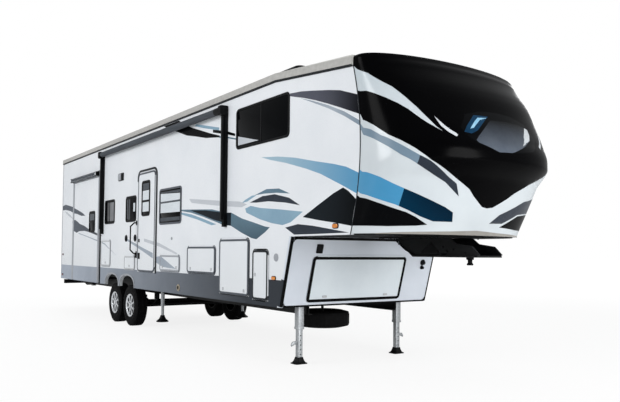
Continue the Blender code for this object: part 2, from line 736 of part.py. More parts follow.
def build_slide(name, side, x0, x1, wx0, wz0, wx1, wz1):
    outer = side * (SIDE_Y + SLIDE_FASCIA)
    origin = Vector(((x0 + x1) / 2, side * SIDE_Y, (SLIDE_FOOT_Z + SLIDE_TOP_Z) / 2))
    low = FLOOR_TOP_Z + GAP + SLIDE_GAP
    top = SLIDE_TOP_Z - SLIDE_FLANGE
    inner = side * (SIDE_Y - SLIDE_DEPTH)
    seat = side * (SIDE_Y + GAP)

    def fascia(bm):
        prism(bm, rounded(x0, SLIDE_FOOT_Z, x1, SLIDE_TOP_Z, 0.02), "Y", seat, outer)

    def room(bm):
        outline = rectangle(x0 + SLIDE_FLANGE, low, x1 - SLIDE_FLANGE, top)
        prism(bm, outline, "Y", inner, side * (SIDE_Y + SLIDE_FASCIA / 2))

    def topper(bm):
        y = side * (SIDE_Y + SLIDE_FASCIA + TOPPER_RADIUS * TOPPER_SEAT)
        z = SLIDE_TOP_Z - TOPPER_RADIUS
        rod(bm, (x0 + TOPPER_INSET, y, z), (x1 - TOPPER_INSET, y, z), TOPPER_RADIUS, 12)

    slide = fused(name, (fascia, room, topper), "white_panel", origin)
    hollow = bmesh.new()
    inset = SLIDE_FLANGE + SLIDE_SHELL
    prism(hollow, rectangle(x0 + inset, low + SLIDE_SHELL, x1 - inset, top - SLIDE_SHELL), "Y",
          side * (SIDE_Y - SLIDE_DEPTH - WALL), side * (SIDE_Y - GAP))
    hole = bmesh.new()
    prism(hole, rounded(*widened((wx0, wz0, wx1, wz1), GAP), PANE_CORNER + GAP), "Y",
          side * (SIDE_Y - WALL), side * (SIDE_Y + WALL))
    combine(slide, "DIFFERENCE", helper(f"{name} inside", hollow), helper(f"{name} window hole", hole))

    pane = bmesh.new()
    window_unit(pane, side, outer, SLIDE_FASCIA - 0.004, wx0, wz0, wx1, wz1, PANE_CORNER)
    solid(f"{name}_window", pane, "tinted_glass", origin)


# Running gear

def tyre_profile():
    """(radius, along) round a tyre's section, from the bead up the outside to the tread."""
    half = TYRE_WIDTH / 2
    outer = [(RIM_RADIUS + GAP, half - 0.022), (RIM_RADIUS + 0.016, half - 0.0165), (RIM_RADIUS + 0.09, half),
             (TYRE_RADIUS - 0.012, half - 0.022), (TYRE_RADIUS, half - 0.055)]
    return outer + [(radius, -along) for radius, along in reversed(outer)]


def build_tyre(name, centre):
    bm = bmesh.new()
    turned(bm, tyre_profile(), "Y", centre, WHEEL_STEPS)
    solid(name, bm, "tyre_rubber", centre, smooth=True)


def rim_profile(side):
    """(radius, along) of a cast wheel with its hub, closed on the axis. Outward is positive."""
    half = TYRE_WIDTH / 2
    bore = SPINDLE_RADIUS + SPINDLE_CLEARANCE
    points = ((0, half - 0.002), (0.038, half - 0.002), (0.046, half - 0.028), (0.170, half - 0.016),
              (0.188, half - 0.030), (RIM_RADIUS + 0.012, half - 0.008),
              (RIM_RADIUS, half - 0.020), (RIM_RADIUS, -half + 0.020),
              (RIM_RADIUS - 0.014, -half + 0.020), (RIM_RADIUS - 0.020, half - 0.062),
              (0.090, half - 0.070), (0.086, -0.020), (bore, -0.020), (bore, 0.050), (0, 0.050))
    return [(radius, side * along) for radius, along in points]


def spoke_windows(bm, side, centre):
    """Tapered holes between the spokes."""
    step = 2 * math.pi / SPOKES
    for spoke in range(SPOKES):
        turn = step * spoke
        outline = []
        for radius, share in ((0.100, 0.24), (0.168, 0.34), (0.168, -0.34), (0.100, -0.24)):
            angle = turn + step * share
            outline.append((centre[0] + radius * math.cos(angle), centre[2] + radius * math.sin(angle)))
        prism(bm, outline, "Y", centre[1] + side * 0.030, centre[1] + side * TYRE_WIDTH)


def build_wheels():
    for end, x in AXLE_X.items():
        for side, word in ((RIGHT, "right"), (LEFT, "left")):
            centre = Vector((x, side * TRACK_HALF, TYRE_RADIUS))
            build_tyre(f"tyre_{end}_{word}", centre)
            bm = bmesh.new()
            turned(bm, rim_profile(side), "Y", centre, WHEEL_STEPS)
            rim = solid(f"rim_{end}_{word}", bm, "cast_alloy", centre, smooth=True)
            holes = bmesh.new()
            spoke_windows(holes, side, centre)
            combine(rim, "DIFFERENCE", helper(f"rim holes {end} {word}", holes))


def build_axles():
    for end, x in AXLE_X.items():
        hub = TRACK_HALF - 0.020

        def beam(bm, x=x, hub=hub):
            reach = hub - 0.012
            rod(bm, (x, -reach, TYRE_RADIUS), (x, reach, TYRE_RADIUS), AXLE_RADIUS, 14)

        def spindle(bm, x=x):
            reach = TRACK_HALF + 0.045
            rod(bm, (x, -reach, TYRE_RADIUS), (x, reach, TYRE_RADIUS), SPINDLE_RADIUS, 14)

        def spring(side, x=x):
            """A pack of leaves under the rail, arched over the axle tube."""
            def draw(bm):
                reach, eye = SPRING_REACH, SPRING_REACH / 3
                top = HANGER_FOOT_Z - GAP
                foot = TYRE_RADIUS + AXLE_RADIUS * 0.6
                outline = [(x - reach, top - 0.016), (x - eye, foot), (x + eye, foot),
                           (x + reach, top - 0.016), (x + reach, top), (x + eye, foot + SPRING_PACK),
                           (x - eye, foot + SPRING_PACK), (x - reach, top)]
                middle = side * SPRING_Y
                prism(bm, outline, "Y", middle - SPRING_WIDTH / 2, middle + SPRING_WIDTH / 2)
            return draw

        fused(f"axle_{end}", (beam, spindle, spring(RIGHT), spring(LEFT)), "black_steel")


def build_chassis():
    top = FLOOR_FOOT_Z - GAP
    shapes = []

    def box(*corners):
        shapes.append(lambda bm: block(bm, *corners))

    def rail(side):
        """C-section with its open side towards the middle."""
        outer, inner = RAIL_Y + RAIL_WIDTH / 2, RAIL_Y - RAIL_WIDTH / 2
        web = outer - FRAME_WEB
        outline = [(outer, RAIL_FOOT_Z), (outer, top), (inner, top), (inner, top - FRAME_WEB),
                   (web, top - FRAME_WEB), (web, RAIL_FOOT_Z + FRAME_WEB), (inner, RAIL_FOOT_Z + FRAME_WEB),
                   (inner, RAIL_FOOT_Z)]
        section = [(side * y, z) for y, z in outline]
        shapes.append(lambda bm: prism(bm, section, "X", RAIL_REAR_X, RAIL_FRONT_X))

    rail(RIGHT)
    rail(LEFT)
    reach = RAIL_Y + RAIL_WIDTH / 2 - FRAME_WEB / 2
    outrigger = INNER_Y - 0.02
    for x in CROSS_MEMBER_X:
        front = x + CROSS_MEMBER_WIDTH
        box(x, -reach, top - 0.14, front, reach, top - 0.02)
        box(x, -outrigger, top - 0.07, front, outrigger, top - 0.021)
    for side in (RIGHT, LEFT):
        reach = SPRING_WIDTH / 2 + 0.009
        low, high = sorted((side * (SPRING_Y - reach), side * (SPRING_Y + reach)))
        between = sum(AXLE_X.values()) / 2
        half = HANGER_LENGTH / 2
        for x in (AXLE_X["rear"] - SPRING_REACH, between, AXLE_X["front"] + SPRING_REACH):
            box(x - half, low, HANGER_FOOT_Z, x + half, high, RAIL_FOOT_Z + 0.02)
        reach = AXLE_X["front"] - SPRING_REACH - between + half / 2
        bar_top = HANGER_FOOT_Z + SPRING_PACK
        box(between - reach, low + 0.002, HANGER_FOOT_Z, between + reach, high - 0.002, bar_top)
        # brackets from the rail to the jack and to the stabiliser
        for x, radius in ((JACK_X, JACK_TUBE / 2), (STABILISER_X, STABILISER_TUBE)):
            low, high = sorted((side * (RAIL_Y + RAIL_WIDTH / 2 - 0.004), side * (JACK_Y - radius - GAP)))
            box(x - 0.04, low, RAIL_FOOT_Z + 0.02, x + 0.04, high, top - 0.03)
    # The tyre carrier: a bar under two cross members, with a post down through the spare's hub
    half = CARRIER_WIDTH / 2
    rear, front = CROSS_MEMBER_X[-2] + half / 3, CROSS_MEMBER_X[-1] + half
    box(rear, -half, top - 0.17, front, half, top - 0.11)
    plate = SPARE_FOOT_Z + TYRE_WIDTH / 2 - SPARE_DISC / 2 - GAP
    shapes.append(lambda bm: rod(bm, (SPARE_X, 0, plate - 0.005), (SPARE_X, 0, top - 0.14), CARRIER_POST))
    shapes.append(lambda bm: prism(bm, circle(SPARE_X, 0, CARRIER_DISC, 16), "Z", plate - 0.012, plate))
    fused("chassis_frame", shapes, "black_steel")


def build_spare():
    """The spare lies flat with its pressed steel disc, which the carrier's post passes through."""
    web = SPARE_DISC / 2
    disc = [(0.03, web), (RIM_RADIUS - 0.02, web)]
    profile = disc + tyre_profile() + [(radius, -along) for radius, along in reversed(disc)]
    bm = bmesh.new()
    turned(bm, profile, "Z", (SPARE_X, 0, SPARE_FOOT_Z + TYRE_WIDTH / 2), WHEEL_STEPS)
    solid("spare_tyre", bm, "tyre_rubber", smooth=True)


def build_jack(side):
    word = "right" if side == RIGHT else "left"
    y = side * JACK_Y
    top = FLOOR_FOOT_Z - GAP

    def square(size, z0, z1):
        half = size / 2
        outline = rounded(JACK_X - half, y - half, JACK_X + half, y + half, 0.008)
        return lambda bm: prism(bm, outline, "Z", z0, z1)

    def foot(bm):
        half_x, half_y, thick = JACK_FOOT
        block(bm, JACK_X - half_x, y - half_y, 0, JACK_X + half_x, y + half_y, thick)

    def ankle(bm):
        block(bm, JACK_X - 0.045, y - 0.06, JACK_FOOT[2] / 2, JACK_X + 0.045, y + 0.06, 0.05)

    def lever(bm):
        z = JACK_LEVER_Z
        rod(bm, (JACK_X, y + side * 0.02, z), (JACK_X, y + side * JACK_LEVER_REACH, z), 0.008, 8)

    sleeve, leg = square(JACK_TUBE, JACK_SLEEVE_Z, top), square(JACK_LEG, 0.03, JACK_SLEEVE_Z + 0.16)
    fused(f"landing_jack_{word}", (sleeve, leg, foot, ankle, lever), "zinc_steel")


def build_stabiliser(side):
    word = "right" if side == RIGHT else "left"
    y = side * JACK_Y
    foot_radius, top_radius, height = STABILISER_CONE
    shoulder = STABILISER_FOOT_Z + height

    def body(bm):
        foot = Vector((STABILISER_X, y, shoulder + 0.06))
        rod(bm, foot, (STABILISER_X, y, FLOOR_FOOT_Z - GAP), STABILISER_TUBE, 14)

    def ram(bm):
        rod(bm, (STABILISER_X, y, shoulder - 0.02), (STABILISER_X, y, shoulder + 0.08), STABILISER_RAM, 12)

    def foot(bm):
        base = Vector((STABILISER_X, y, STABILISER_FOOT_Z))
        rod(bm, base, (STABILISER_X, y, shoulder), foot_radius, 14, top_radius)

    fused(f"stabiliser_{word}", (body, ram, foot), "zinc_steel")


def build_bumper():
    half = BUMPER_SIZE / 2

    outline = rounded(-BUMPER_SIZE - GAP, BUMPER_Z - half, -GAP, BUMPER_Z + half, 0.012)

    def beam(bm):
        prism(bm, outline, "Y", -BUMPER_HALF, BUMPER_HALF)

    def bracket(side):
        low, high = sorted((side * (RAIL_Y - 0.02), side * (RAIL_Y + 0.02)))
        return lambda bm: block(bm, -0.03, low, BUMPER_Z - 0.03, RAIL_REAR_X - GAP, high, BUMPER_Z + 0.03)

    fused("rear_bumper", (beam, bracket(RIGHT), bracket(LEFT)), "black_steel")


# Pin box

def build_pin_box():
    top = DECK_Z - GAP
    plate = PIN_PLATE_Z
    cheek = [(x, top if rise is None else plate + rise) for x, rise in PIN_CHEEK]
    window = [(x, plate + rise) for x, rise in PIN_WINDOW]

    def cheeks(bm):
        prism(bm, cheek, "Y", -PIN_BOX_HALF, PIN_BOX_HALF)

    def flange(bm):
        rear, front, half, thick = PIN_FLANGE
        block(bm, rear, -half, top - thick, front, half, top)

    def bolster(bm):
        block(bm, PIN_X - BOLSTER_HALF, -BOLSTER_HALF, plate, PIN_X + BOLSTER_HALF, BOLSTER_HALF,
              plate + BOLSTER_THICKNESS)

    box = fused("pin_box", (cheeks, flange, bolster), "black_steel")
    hole = bmesh.new()
    prism(hole, window, "Y", -0.5, 0.5)
    between = bmesh.new()
    inside = rectangle(PIN_WINDOW[0][0] - 0.06, plate + PIN_BOX_SKIN, REACH_FRONT, top - PIN_BOX_SKIN)
    prism(between, inside, "Y", PIN_BOX_SKIN - PIN_BOX_HALF, PIN_BOX_HALF - PIN_BOX_SKIN)
    bore = bmesh.new()
    rod(bore, (PIN_X, 0, plate - 0.05), (PIN_X, 0, plate + 0.05), PIN_BOSS_RADIUS + GAP, PIN_STEPS)
    combine(box, "DIFFERENCE", helper("pin box window", hole), helper("pin box channel", between),
            helper("kingpin bore", bore))

    bm = bmesh.new()
    foot = plate - PIN_LENGTH
    turned(bm, ((0, plate + BOLSTER_THICKNESS), (PIN_BOSS_RADIUS, plate + BOLSTER_THICKNESS),
                (PIN_BOSS_RADIUS, plate - 0.022), (PIN_RADIUS, plate - 0.030),
                (PIN_RADIUS, foot + 0.028), (PIN_FLANGE_RADIUS, foot + 0.018),
                (PIN_FLANGE_RADIUS, foot + 0.004), (PIN_FLANGE_RADIUS - 0.004, foot), (0, foot)),
           "Z", Vector((PIN_X, 0, 0)), PIN_STEPS)
    solid("kingpin", bm, "zinc_steel", smooth=True)  # its boss is welded into the bolster's bore


# Awning

def build_awning():
    wall = -SIDE_Y - ROOF_OVERHANG - GAP
    tube_y = -SIDE_Y - AWNING_REACH
    half = ARM_WIDTH / 2

    def roller(bm):
        rear, front = AWNING_REAR_X + half + GAP, AWNING_FRONT_X - half - GAP
        rod(bm, (rear, tube_y, AWNING_Z), (front, tube_y, AWNING_Z), AWNING_RADIUS, 16)

    fused("awning_roller", (roller,), "black_plastic")
    for word, x in (("rear", AWNING_REAR_X), ("front", AWNING_FRONT_X)):
        def channel(bm, x=x):
            back = -SIDE_Y - GAP
            block(bm, x - half, back - ARM_DEPTH, ARM_FOOT_Z, x + half, back, AWNING_Z + 0.04)

        def head(bm, x=x):
            outline = rounded(tube_y - AWNING_RADIUS, AWNING_Z - 0.075, -SIDE_Y - GAP, AWNING_Z + 0.065, 0.02)
            prism(bm, outline, "X", x - half, x + half)

        def strut(bm, x=x):
            block(bm, x - half * 0.6, -SIDE_Y - 0.085, ARM_FOOT_Z + 0.10, x + half * 0.6, -SIDE_Y - 0.035,
                  AWNING_Z - 0.02)

        fused(f"awning_arm_{word}", (channel, head, strut), "black_plastic")


# Roof and rear fittings

def build_roof_fittings():
    top = WALL_TOP_Z + ROOF_THICKNESS + GAP
    for name, x0, y0, x1, y1, height, taper in ROOF_UNITS:
        bm = bmesh.new()
        face = prism(bm, rounded(x0, y0, x1, y1, ROOF_UNIT_CORNER, 3), "Z", top, top + height * 0.55)
        bmesh.ops.inset_region(bm, faces=[face], thickness=taper, depth=height * 0.45)
        solid(name, bm, "black_plastic", smooth=True)


def build_ladder():
    reach = -LADDER_STANDOFF
    low, high = LADDER_FOOT_Z, WALL_TOP_Z + ROOF_THICKNESS
    sides = (LADDER_Y - LADDER_WIDTH / 2, LADDER_Y + LADDER_WIDTH / 2)
    shapes = []
    for y in sides:
        path = [(-GAP, y, low), (reach + 0.03, y, low), (reach, y, low + 0.03), (reach, y, high - 0.02),
                (reach + 0.06, y, high + 0.08), (0.12, y, high + 0.08), (0.16, y, high + 0.04),
                (0.16, y, high + GAP)]
        shapes.append(lambda bm, path=path: tube(bm, path, LADDER_RADIUS, 6))
    for rung in range(LADDER_RUNGS):
        z = low + 0.20 + rung * LADDER_PITCH
        ends = (reach, sides[0], z), (reach, sides[1], z)
        shapes.append(lambda bm, ends=ends: rod(bm, *ends, LADDER_RADIUS * 0.9, 6))
    fused("roof_ladder", shapes, "polished_alloy")


def build_lamps():
    for side, word in ((RIGHT, "right"), (LEFT, "left")):
        bm = bmesh.new()
        y = side * LAMP_Y
        width, height, depth = LAMP_SIZE
        outline = rounded(y - width / 2, LAMP_Z - height / 2, y + width / 2, LAMP_Z + height / 2, 0.03)
        face = prism(bm, outline, "X", -GAP, -depth)
        bmesh.ops.inset_region(bm, faces=[face], thickness=0.012, depth=0.006)
        solid(f"tail_light_{word}", bm, "red_lens")


def main():
    global TRAILER
    for old in list(bpy.data.objects):
        bpy.data.objects.remove(old, do_unlink=True)
    TRAILER = bpy.data.objects.new("trailer", None)
    bpy.context.collection.objects.link(TRAILER)
    TRAILER.location = (-(REACH_REAR + REACH_FRONT) / 2, -(REACH_LEFT - REACH_RIGHT) / 2, 0)
    build_side_wall(RIGHT)
    build_side_wall(LEFT)
    build_shell()
    build_cap()
    for row in DOORS:
        build_door(*row)
    build_storage_door()
    build_handle()
    for row in WINDOWS:
        build_window(*row)
    for row in SLIDES:
        build_slide(*row)
    build_wheels()
    build_axles()
    build_chassis()
    build_spare()
    for side in (RIGHT, LEFT):
        build_jack(side)
        build_stabiliser(side)
    build_bumper()
    build_pin_box()
    build_awning()
    build_roof_fittings()
    build_ladder()
    build_lamps()


main()
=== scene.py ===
import math

import bmesh
import bpy
from mathutils import Matrix, Vector


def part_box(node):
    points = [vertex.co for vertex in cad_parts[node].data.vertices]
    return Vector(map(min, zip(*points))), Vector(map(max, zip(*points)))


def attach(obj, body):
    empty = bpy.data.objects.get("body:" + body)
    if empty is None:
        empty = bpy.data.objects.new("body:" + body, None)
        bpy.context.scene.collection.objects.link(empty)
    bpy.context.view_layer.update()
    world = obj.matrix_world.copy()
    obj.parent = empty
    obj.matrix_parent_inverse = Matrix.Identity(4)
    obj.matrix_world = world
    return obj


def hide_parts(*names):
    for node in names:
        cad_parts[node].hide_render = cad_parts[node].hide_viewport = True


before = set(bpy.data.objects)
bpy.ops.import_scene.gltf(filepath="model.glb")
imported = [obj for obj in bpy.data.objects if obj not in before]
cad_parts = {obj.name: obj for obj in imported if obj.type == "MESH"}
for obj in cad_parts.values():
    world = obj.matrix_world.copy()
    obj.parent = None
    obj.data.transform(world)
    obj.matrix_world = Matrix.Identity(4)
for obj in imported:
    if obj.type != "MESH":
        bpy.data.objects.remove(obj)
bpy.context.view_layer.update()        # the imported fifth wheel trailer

print("frame loaded")

# Pieces are drawn in the trailer's own measures: X from the rear wall, Y from the middle, Z from the ground.
origin = Vector((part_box("rear_wall")[0].x, (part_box("side_wall_right")[0].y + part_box("side_wall_left")[1].y) / 2, 0))
sideY = (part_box("side_wall_left")[1].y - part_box("side_wall_right")[0].y) / 2
sides = {"right": -1, "left": 1}


def nodeBox(name):
    low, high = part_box(name)
    return low - origin, high - origin


# Camera, at the photograph's place and angle
cameraSet = {"place": (17.086, -5.625, 1.424), "yaw": 145.035, "pitch": 2.374, "roll": 0.460,
             "lens": 38.28, "shiftY": 0.0392}


def buildCamera():
    yaw, pitch, roll = (math.radians(cameraSet[key]) for key in ("yaw", "pitch", "roll"))
    ahead = Vector((math.cos(yaw) * math.cos(pitch), math.sin(yaw) * math.cos(pitch), math.sin(pitch)))
    level = Vector((math.sin(yaw), -math.cos(yaw), 0))
    upright = level.cross(ahead)
    across = level * math.cos(roll) + upright * math.sin(roll)
    top = upright * math.cos(roll) - level * math.sin(roll)
    turn = Matrix((across, top, -ahead)).transposed().to_4x4()
    camera = bpy.data.objects.new("camera", bpy.data.cameras.new("camera"))
    camera.matrix_world = Matrix.Translation(origin + Vector(cameraSet["place"])) @ turn
    camera.data.lens = cameraSet["lens"]
    camera.data.shift_y = cameraSet["shiftY"]
    camera.data.clip_end = 400
    bpy.context.scene.collection.objects.link(camera)
    bpy.context.scene.camera = camera


buildCamera()
print("camera placed")

# Materials
finishes = {}  # name: (material, slot of the record)


def linear(colour):
    parts = [int(colour[i:i + 2], 16) / 255 for i in (1, 3, 5)]
    return tuple(part / 12.92 if part <= 0.04045 else ((part + 0.055) / 1.055) ** 2.4 for part in parts) + (1.0,)


def addNode(tree, kind, settings=None, links=None):
    node = tree.nodes.new(kind)
    for key, value in (settings or {}).items():
        if isinstance(key, str) and hasattr(node, key):
            setattr(node, key, value)
        else:
            node.inputs[key].default_value = value
    for key, source in (links or {}).items():
        tree.links.new(source, node.inputs[key])
    return node


def makeFinish(name, slot, tones, rough, patch=600, grain=3, bump=0.01, metallic=0.0, coat=0.0,
               stretch=(1, 1, 1), shade=None, ior=1.5, gloss=0.5):
    # patch and grain are the sizes, in millimetres, of the broad drift in tone and of the fine surface
    material = bpy.data.materials.new(name)
    material.use_nodes = True
    tree = material.node_tree
    shader = tree.nodes["Principled BSDF"]
    coords = addNode(tree, "ShaderNodeTexCoord")
    drawn = addNode(tree, "ShaderNodeMapping", {"Scale": stretch}, {"Vector": coords.outputs["Object"]})
    broad = addNode(tree, "ShaderNodeTexNoise", {"Scale": 1000 / patch, "Detail": 5.0, "Roughness": 0.6},
                    {"Vector": drawn.outputs[0]})
    fine = addNode(tree, "ShaderNodeTexNoise", {"Scale": 1000 / grain, "Detail": 2.0}, {"Vector": drawn.outputs[0]})
    drift = addNode(tree, "ShaderNodeMapRange", {"From Min": 0.35, "From Max": 0.65}, {"Value": broad.outputs[0]})
    colour = addNode(tree, "ShaderNodeMix", {"data_type": "RGBA", 6: linear(tones[0]), 7: linear(tones[1])},
                     {0: drift.outputs[0]})
    last = colour.outputs[2]
    if shade:  # a steady change of tone along one direction of the trailer
        direction, start, end, tone = shade
        shift = Vector(direction).dot(origin)
        along = addNode(tree, "ShaderNodeVectorMath", {"operation": "DOT_PRODUCT", 1: direction},
                        {0: coords.outputs["Object"]})
        run = addNode(tree, "ShaderNodeMapRange", {"From Min": start + shift, "From Max": end + shift},
                      {"Value": along.outputs["Value"]})
        last = addNode(tree, "ShaderNodeMix", {"data_type": "RGBA", 7: linear(tone)},
                       {0: run.outputs[0], 6: last}).outputs[2]
    level = addNode(tree, "ShaderNodeMapRange", {"From Min": 0.3, "From Max": 0.7, "To Min": rough[0],
                                                 "To Max": rough[1]}, {"Value": fine.outputs[0]})
    relief = addNode(tree, "ShaderNodeBump", {"Strength": 1.0, "Distance": bump / 1000},
                     {"Height": fine.outputs[0]})
    tree.links.new(last, shader.inputs["Base Color"])
    tree.links.new(level.outputs[0], shader.inputs["Roughness"])
    tree.links.new(relief.outputs[0], shader.inputs["Normal"])
    shader.inputs["Metallic"].default_value = metallic
    shader.inputs["Coat Weight"].default_value = coat
    shader.inputs["Coat Roughness"].default_value = 0.04
    if not metallic:
        shader.inputs["IOR"].default_value = ior
        shader.inputs["Specular IOR Level"].default_value = gloss
    finishes[name] = (material, slot)


# Laminated fibreglass wall: glossy cool white with a slow waviness and road dust low down
makeFinish("laminatedFibreglass", "white_panel", ("#e8ebef", "#e0e4e9"), (0.25, 0.35), 1400, 6, 0.008, gloss=0.3,
           shade=((0, 0, 1), 1.6, 0.7, "#dfe3e6"))
# Moulded gelcoat: a little cooler and glossier than the wall, with painted shade darkening it towards the top
makeFinish("mouldedGelcoat", "white_panel", ("#d1d8dc", "#c9d0d5"), (0.14, 0.22), 900, 5, 0.006, gloss=0.35,
           shade=((0, 0, 1), 2.6, 3.3, "#c2ccd2"))
# Painted aluminium skirt: blue grey, with painted shade darkening it towards the nose
makeFinish("paintedSkirt", "silver_panel", ("#a6aeba", "#9ba4b1"), (0.35, 0.45), 500, 4, 0.01, gloss=0.15,
           shade=((1, 0, 0), 1.5, 9.4, "#2c3138"))
# Satin metallic paint on the slanted front wall
makeFinish("satinSilver", "silver_panel", ("#d7dde6", "#ced5de"), (0.35, 0.5), 700, 3, 0.008, gloss=0.3)
makeFinish("satinPale", "silver_panel", ("#dfe7ec", "#d6dfe5"), (0.3, 0.4), 700, 3, 0.008, gloss=0.3)
# Thermoplastic roof sheet: matt, chalky, faintly mottled
makeFinish("roofSheet", "roof_membrane", ("#cfcfcb", "#bfbfba"), (0.7, 0.85), 350, 8, 0.15)
# Black gelcoat of the cap: deep and even, with a thin gloss
makeFinish("blackGelcoat", "black_gelcoat", ("#020203", "#040405"), (0.16, 0.24), 900, 5, 0.004, ior=1.16,
           gloss=0.2)
# The cap's lower lip: a warm grey band of painted shade under the lip with a painted reflection of the ground
makeFinish("warmGelcoat", "white_panel", ("#9b9893", "#918e88"), (0.2, 0.3), 300, 5, 0.006, gloss=0.3)
# Roof edge moulding: satin warm grey vinyl
makeFinish("roofMoulding", "silver_panel", ("#b9b8b5", "#adaca9"), (0.5, 0.6), 60, 2, 0.03, gloss=0.15)
# Cut vinyl films: even colour with the gloss of calendered sheet, the darkest ones with hardly any
deepFilms = ("blackFilm", "duskFilm", "graphiteFilm", "tealFilm")
for filmName, slotName, filmTones, fade in (
        ("blackFilm", "black_gelcoat", ("#040507", "#07080a"), None),
        # the swoosh's black film, painted grey in its middle as a painted sheen that fades to black towards the
        # seam
        ("duskFilm", "black_gelcoat", ("#5b5d68", "#52545f"), ((1, 0, 0), 10.95, 11.72, "#0d0e13")),
        ("graphiteFilm", "silver_panel", ("#1c2227", "#22282e"), ((1, 0, 0), 10.9, 11.75, "#07090b")),
        ("slateFilm", "silver_panel", ("#262d38", "#2c3440"), ((1, 0, 0), 3.0, 1.2, "#454d59")),
        ("greyFilm", "silver_panel", ("#a3adb8", "#98a2ae"), ((1, 0, 0), 11.3, 11.9, "#728798")),
        # silver film on the walls; the same finish paints a pale reflection on one window pane
        ("silverFilm", "silver_panel", ("#c4c8ce", "#bcc1c8"), None),
        # pale streak along a crease of the cap: a painted highlight
        ("whiteFilm", "white_panel", ("#d3d7dc", "#ccd1d6"), None),
        ("blueFilm", "silver_panel", ("#4590bb", "#3f8ab6"), ((1, 0, 0), 11.9, 10.2, "#9bb7c7")),
        ("tealFilm", "silver_panel", ("#053a56", "#04304b"), ((1, 0, 0), 11.95, 12.3, "#021d30")),
        ("mistFilm", "silver_panel", ("#8babbe", "#7f9fb4"), None),
        ("stormFilm", "silver_panel", ("#5f7a8b", "#54707f"), ((0, 0, 1), 1.85, 1.6, "#3f5766"))):
    makeFinish(filmName, slotName, filmTones, (0.25, 0.33), 800, 2, 0.003, shade=fade, gloss=0.2,
               ior=1.18 if filmName in deepFilms else 1.5)
# Tinted safety glass: nearly black, mirror smooth
makeFinish("tintedGlass", "tinted_glass", ("#030406", "#060709"), (0.04, 0.07), 700, 40, 0.002, ior=1.2,
           gloss=0.25)
# The same glass with painted reflections of the sky on it, grey to blue
makeFinish("shadedGlass", "tinted_glass", ("#3f464e", "#343a42"), (0.05, 0.08), 300, 40, 0.002, ior=1.52,
           gloss=0.25)
makeFinish("duskGlass", "tinted_glass", ("#77797d", "#6c6e73"), (0.05, 0.08), 300, 40, 0.002, ior=1.52,
           gloss=0.25, shade=((1, 0, 0), 3.72, 3.55, "#0a0b0e"))
# pale and deep blue patches of sky at the windscreen's corner: painted reflections
makeFinish("skyGlass", "tinted_glass", ("#9fcbe2", "#7fb4d4"), (0.05, 0.08), 120, 40, 0.002, ior=1.52,
           gloss=0.25)
makeFinish("deepGlass", "tinted_glass", ("#0d3a58", "#082c46"), (0.05, 0.08), 120, 40, 0.002, ior=1.52,
           gloss=0.1)
# Windscreen pane: a painted reflection of the sky, fading out towards its top
makeFinish("skyFadeGlass", "tinted_glass", ("#5b636e", "#505864"), (0.05, 0.08), 200, 40, 0.002, ior=1.52,
           gloss=0.1, shade=((0, 0, 1), 2.50, 2.83, "#06080c"))
# Pleated blind close behind the pane: pale cloth under gloss
makeFinish("blindCloth", "tinted_glass", ("#dfe5ea", "#cdd5dc"), (0.25, 0.4), 60, 2, 0.02, coat=0.3,
           stretch=(0.2, 0.2, 12))
# Moulded ABS and rubber: matt, with the fine grain of the mould
makeFinish("blackMoulding", "black_plastic", ("#060709", "#0b0c0e"), (0.42, 0.58), 200, 1.5, 0.03, gloss=0.12)
makeFinish("charcoalTrim", "black_plastic", ("#23272c", "#1d2024"), (0.4, 0.5), 200, 1.5, 0.02, gloss=0.15)
makeFinish("slateMoulding", "black_plastic", ("#555a62", "#4c5159"), (0.4, 0.5), 200, 1.5, 0.02, gloss=0.25)
makeFinish("awningCloth", "black_plastic", ("#454a51", "#3a3f45"), (0.6, 0.75), 90, 1.2, 0.04, gloss=0.3,
           stretch=(0.15, 3, 3))
makeFinish("beigeMoulding", "white_panel", ("#a89c86", "#988d79"), (0.4, 0.5), 120, 1.5, 0.02)
makeFinish("greyMoulding", "silver_panel", ("#9fa3a9", "#969aa1"), (0.4, 0.5), 200, 1.5, 0.02)
makeFinish("paleMoulding", "silver_panel", ("#c3c6c9", "#babdc0"), (0.4, 0.5), 200, 1.5, 0.02)
makeFinish("gasketRubber", "black_plastic", ("#060708", "#0b0b0c"), (0.65, 0.8), 90, 1, 0.04, gloss=0.08)
makeFinish("tyreRubber", "tyre_rubber", ("#080809", "#0d0d0e"), (0.7, 0.9), 60, 1.2, 0.08, gloss=0.12)
# Metals: chassis enamel with dust, zinc with spangle, lacquered castings and brushed tube
makeFinish("chassisEnamel", "black_steel", ("#08090a", "#0e0f11"), (0.35, 0.6), 180, 2, 0.04, gloss=0.15)
makeFinish("zincPlate", "zinc_steel", ("#b3b6b9", "#989c9f"), (0.35, 0.5), 25, 2, 0.02, metallic=0.5)
makeFinish("castAlloy", "cast_alloy", ("#e4e6e9", "#d2d5d9"), (0.2, 0.32), 40, 1.5, 0.01, metallic=0.45)
makeFinish("wheelPocketPaint", "black_steel", ("#050607", "#030404"), (0.3, 0.4), 40, 1.5, 0.01, gloss=0.1)
makeFinish("brushedAlloy", "polished_alloy", ("#c9cccf", "#b5b9bd"), (0.25, 0.4), 30, 1, 0.01, metallic=0.9,
           stretch=(0.1, 4, 4))
makeFinish("bellyBoard", "floor_board", ("#0b0c0d", "#121315"), (0.6, 0.8), 300, 5, 0.2, gloss=0.1)
# Lenses: deep colour under clear gloss
makeFinish("redLens", "red_lens", ("#8a0f12", "#6d090c"), (0.08, 0.15), 20, 4, 0.05, coat=1.0, stretch=(1, 3, 3))
makeFinish("amberLens", "red_lens", ("#e58a1c", "#c96f0e"), (0.08, 0.15), 20, 4, 0.05, coat=1.0)
# pale patch on the windscreen's corner: a painted glint
makeFinish("clearLens", "tinted_glass", ("#d5dadd", "#bcc3c8"), (0.06, 0.12), 20, 4, 0.05, coat=1.0)
print("materials made:", len(finishes))


# Shapes, each drawn into a bmesh

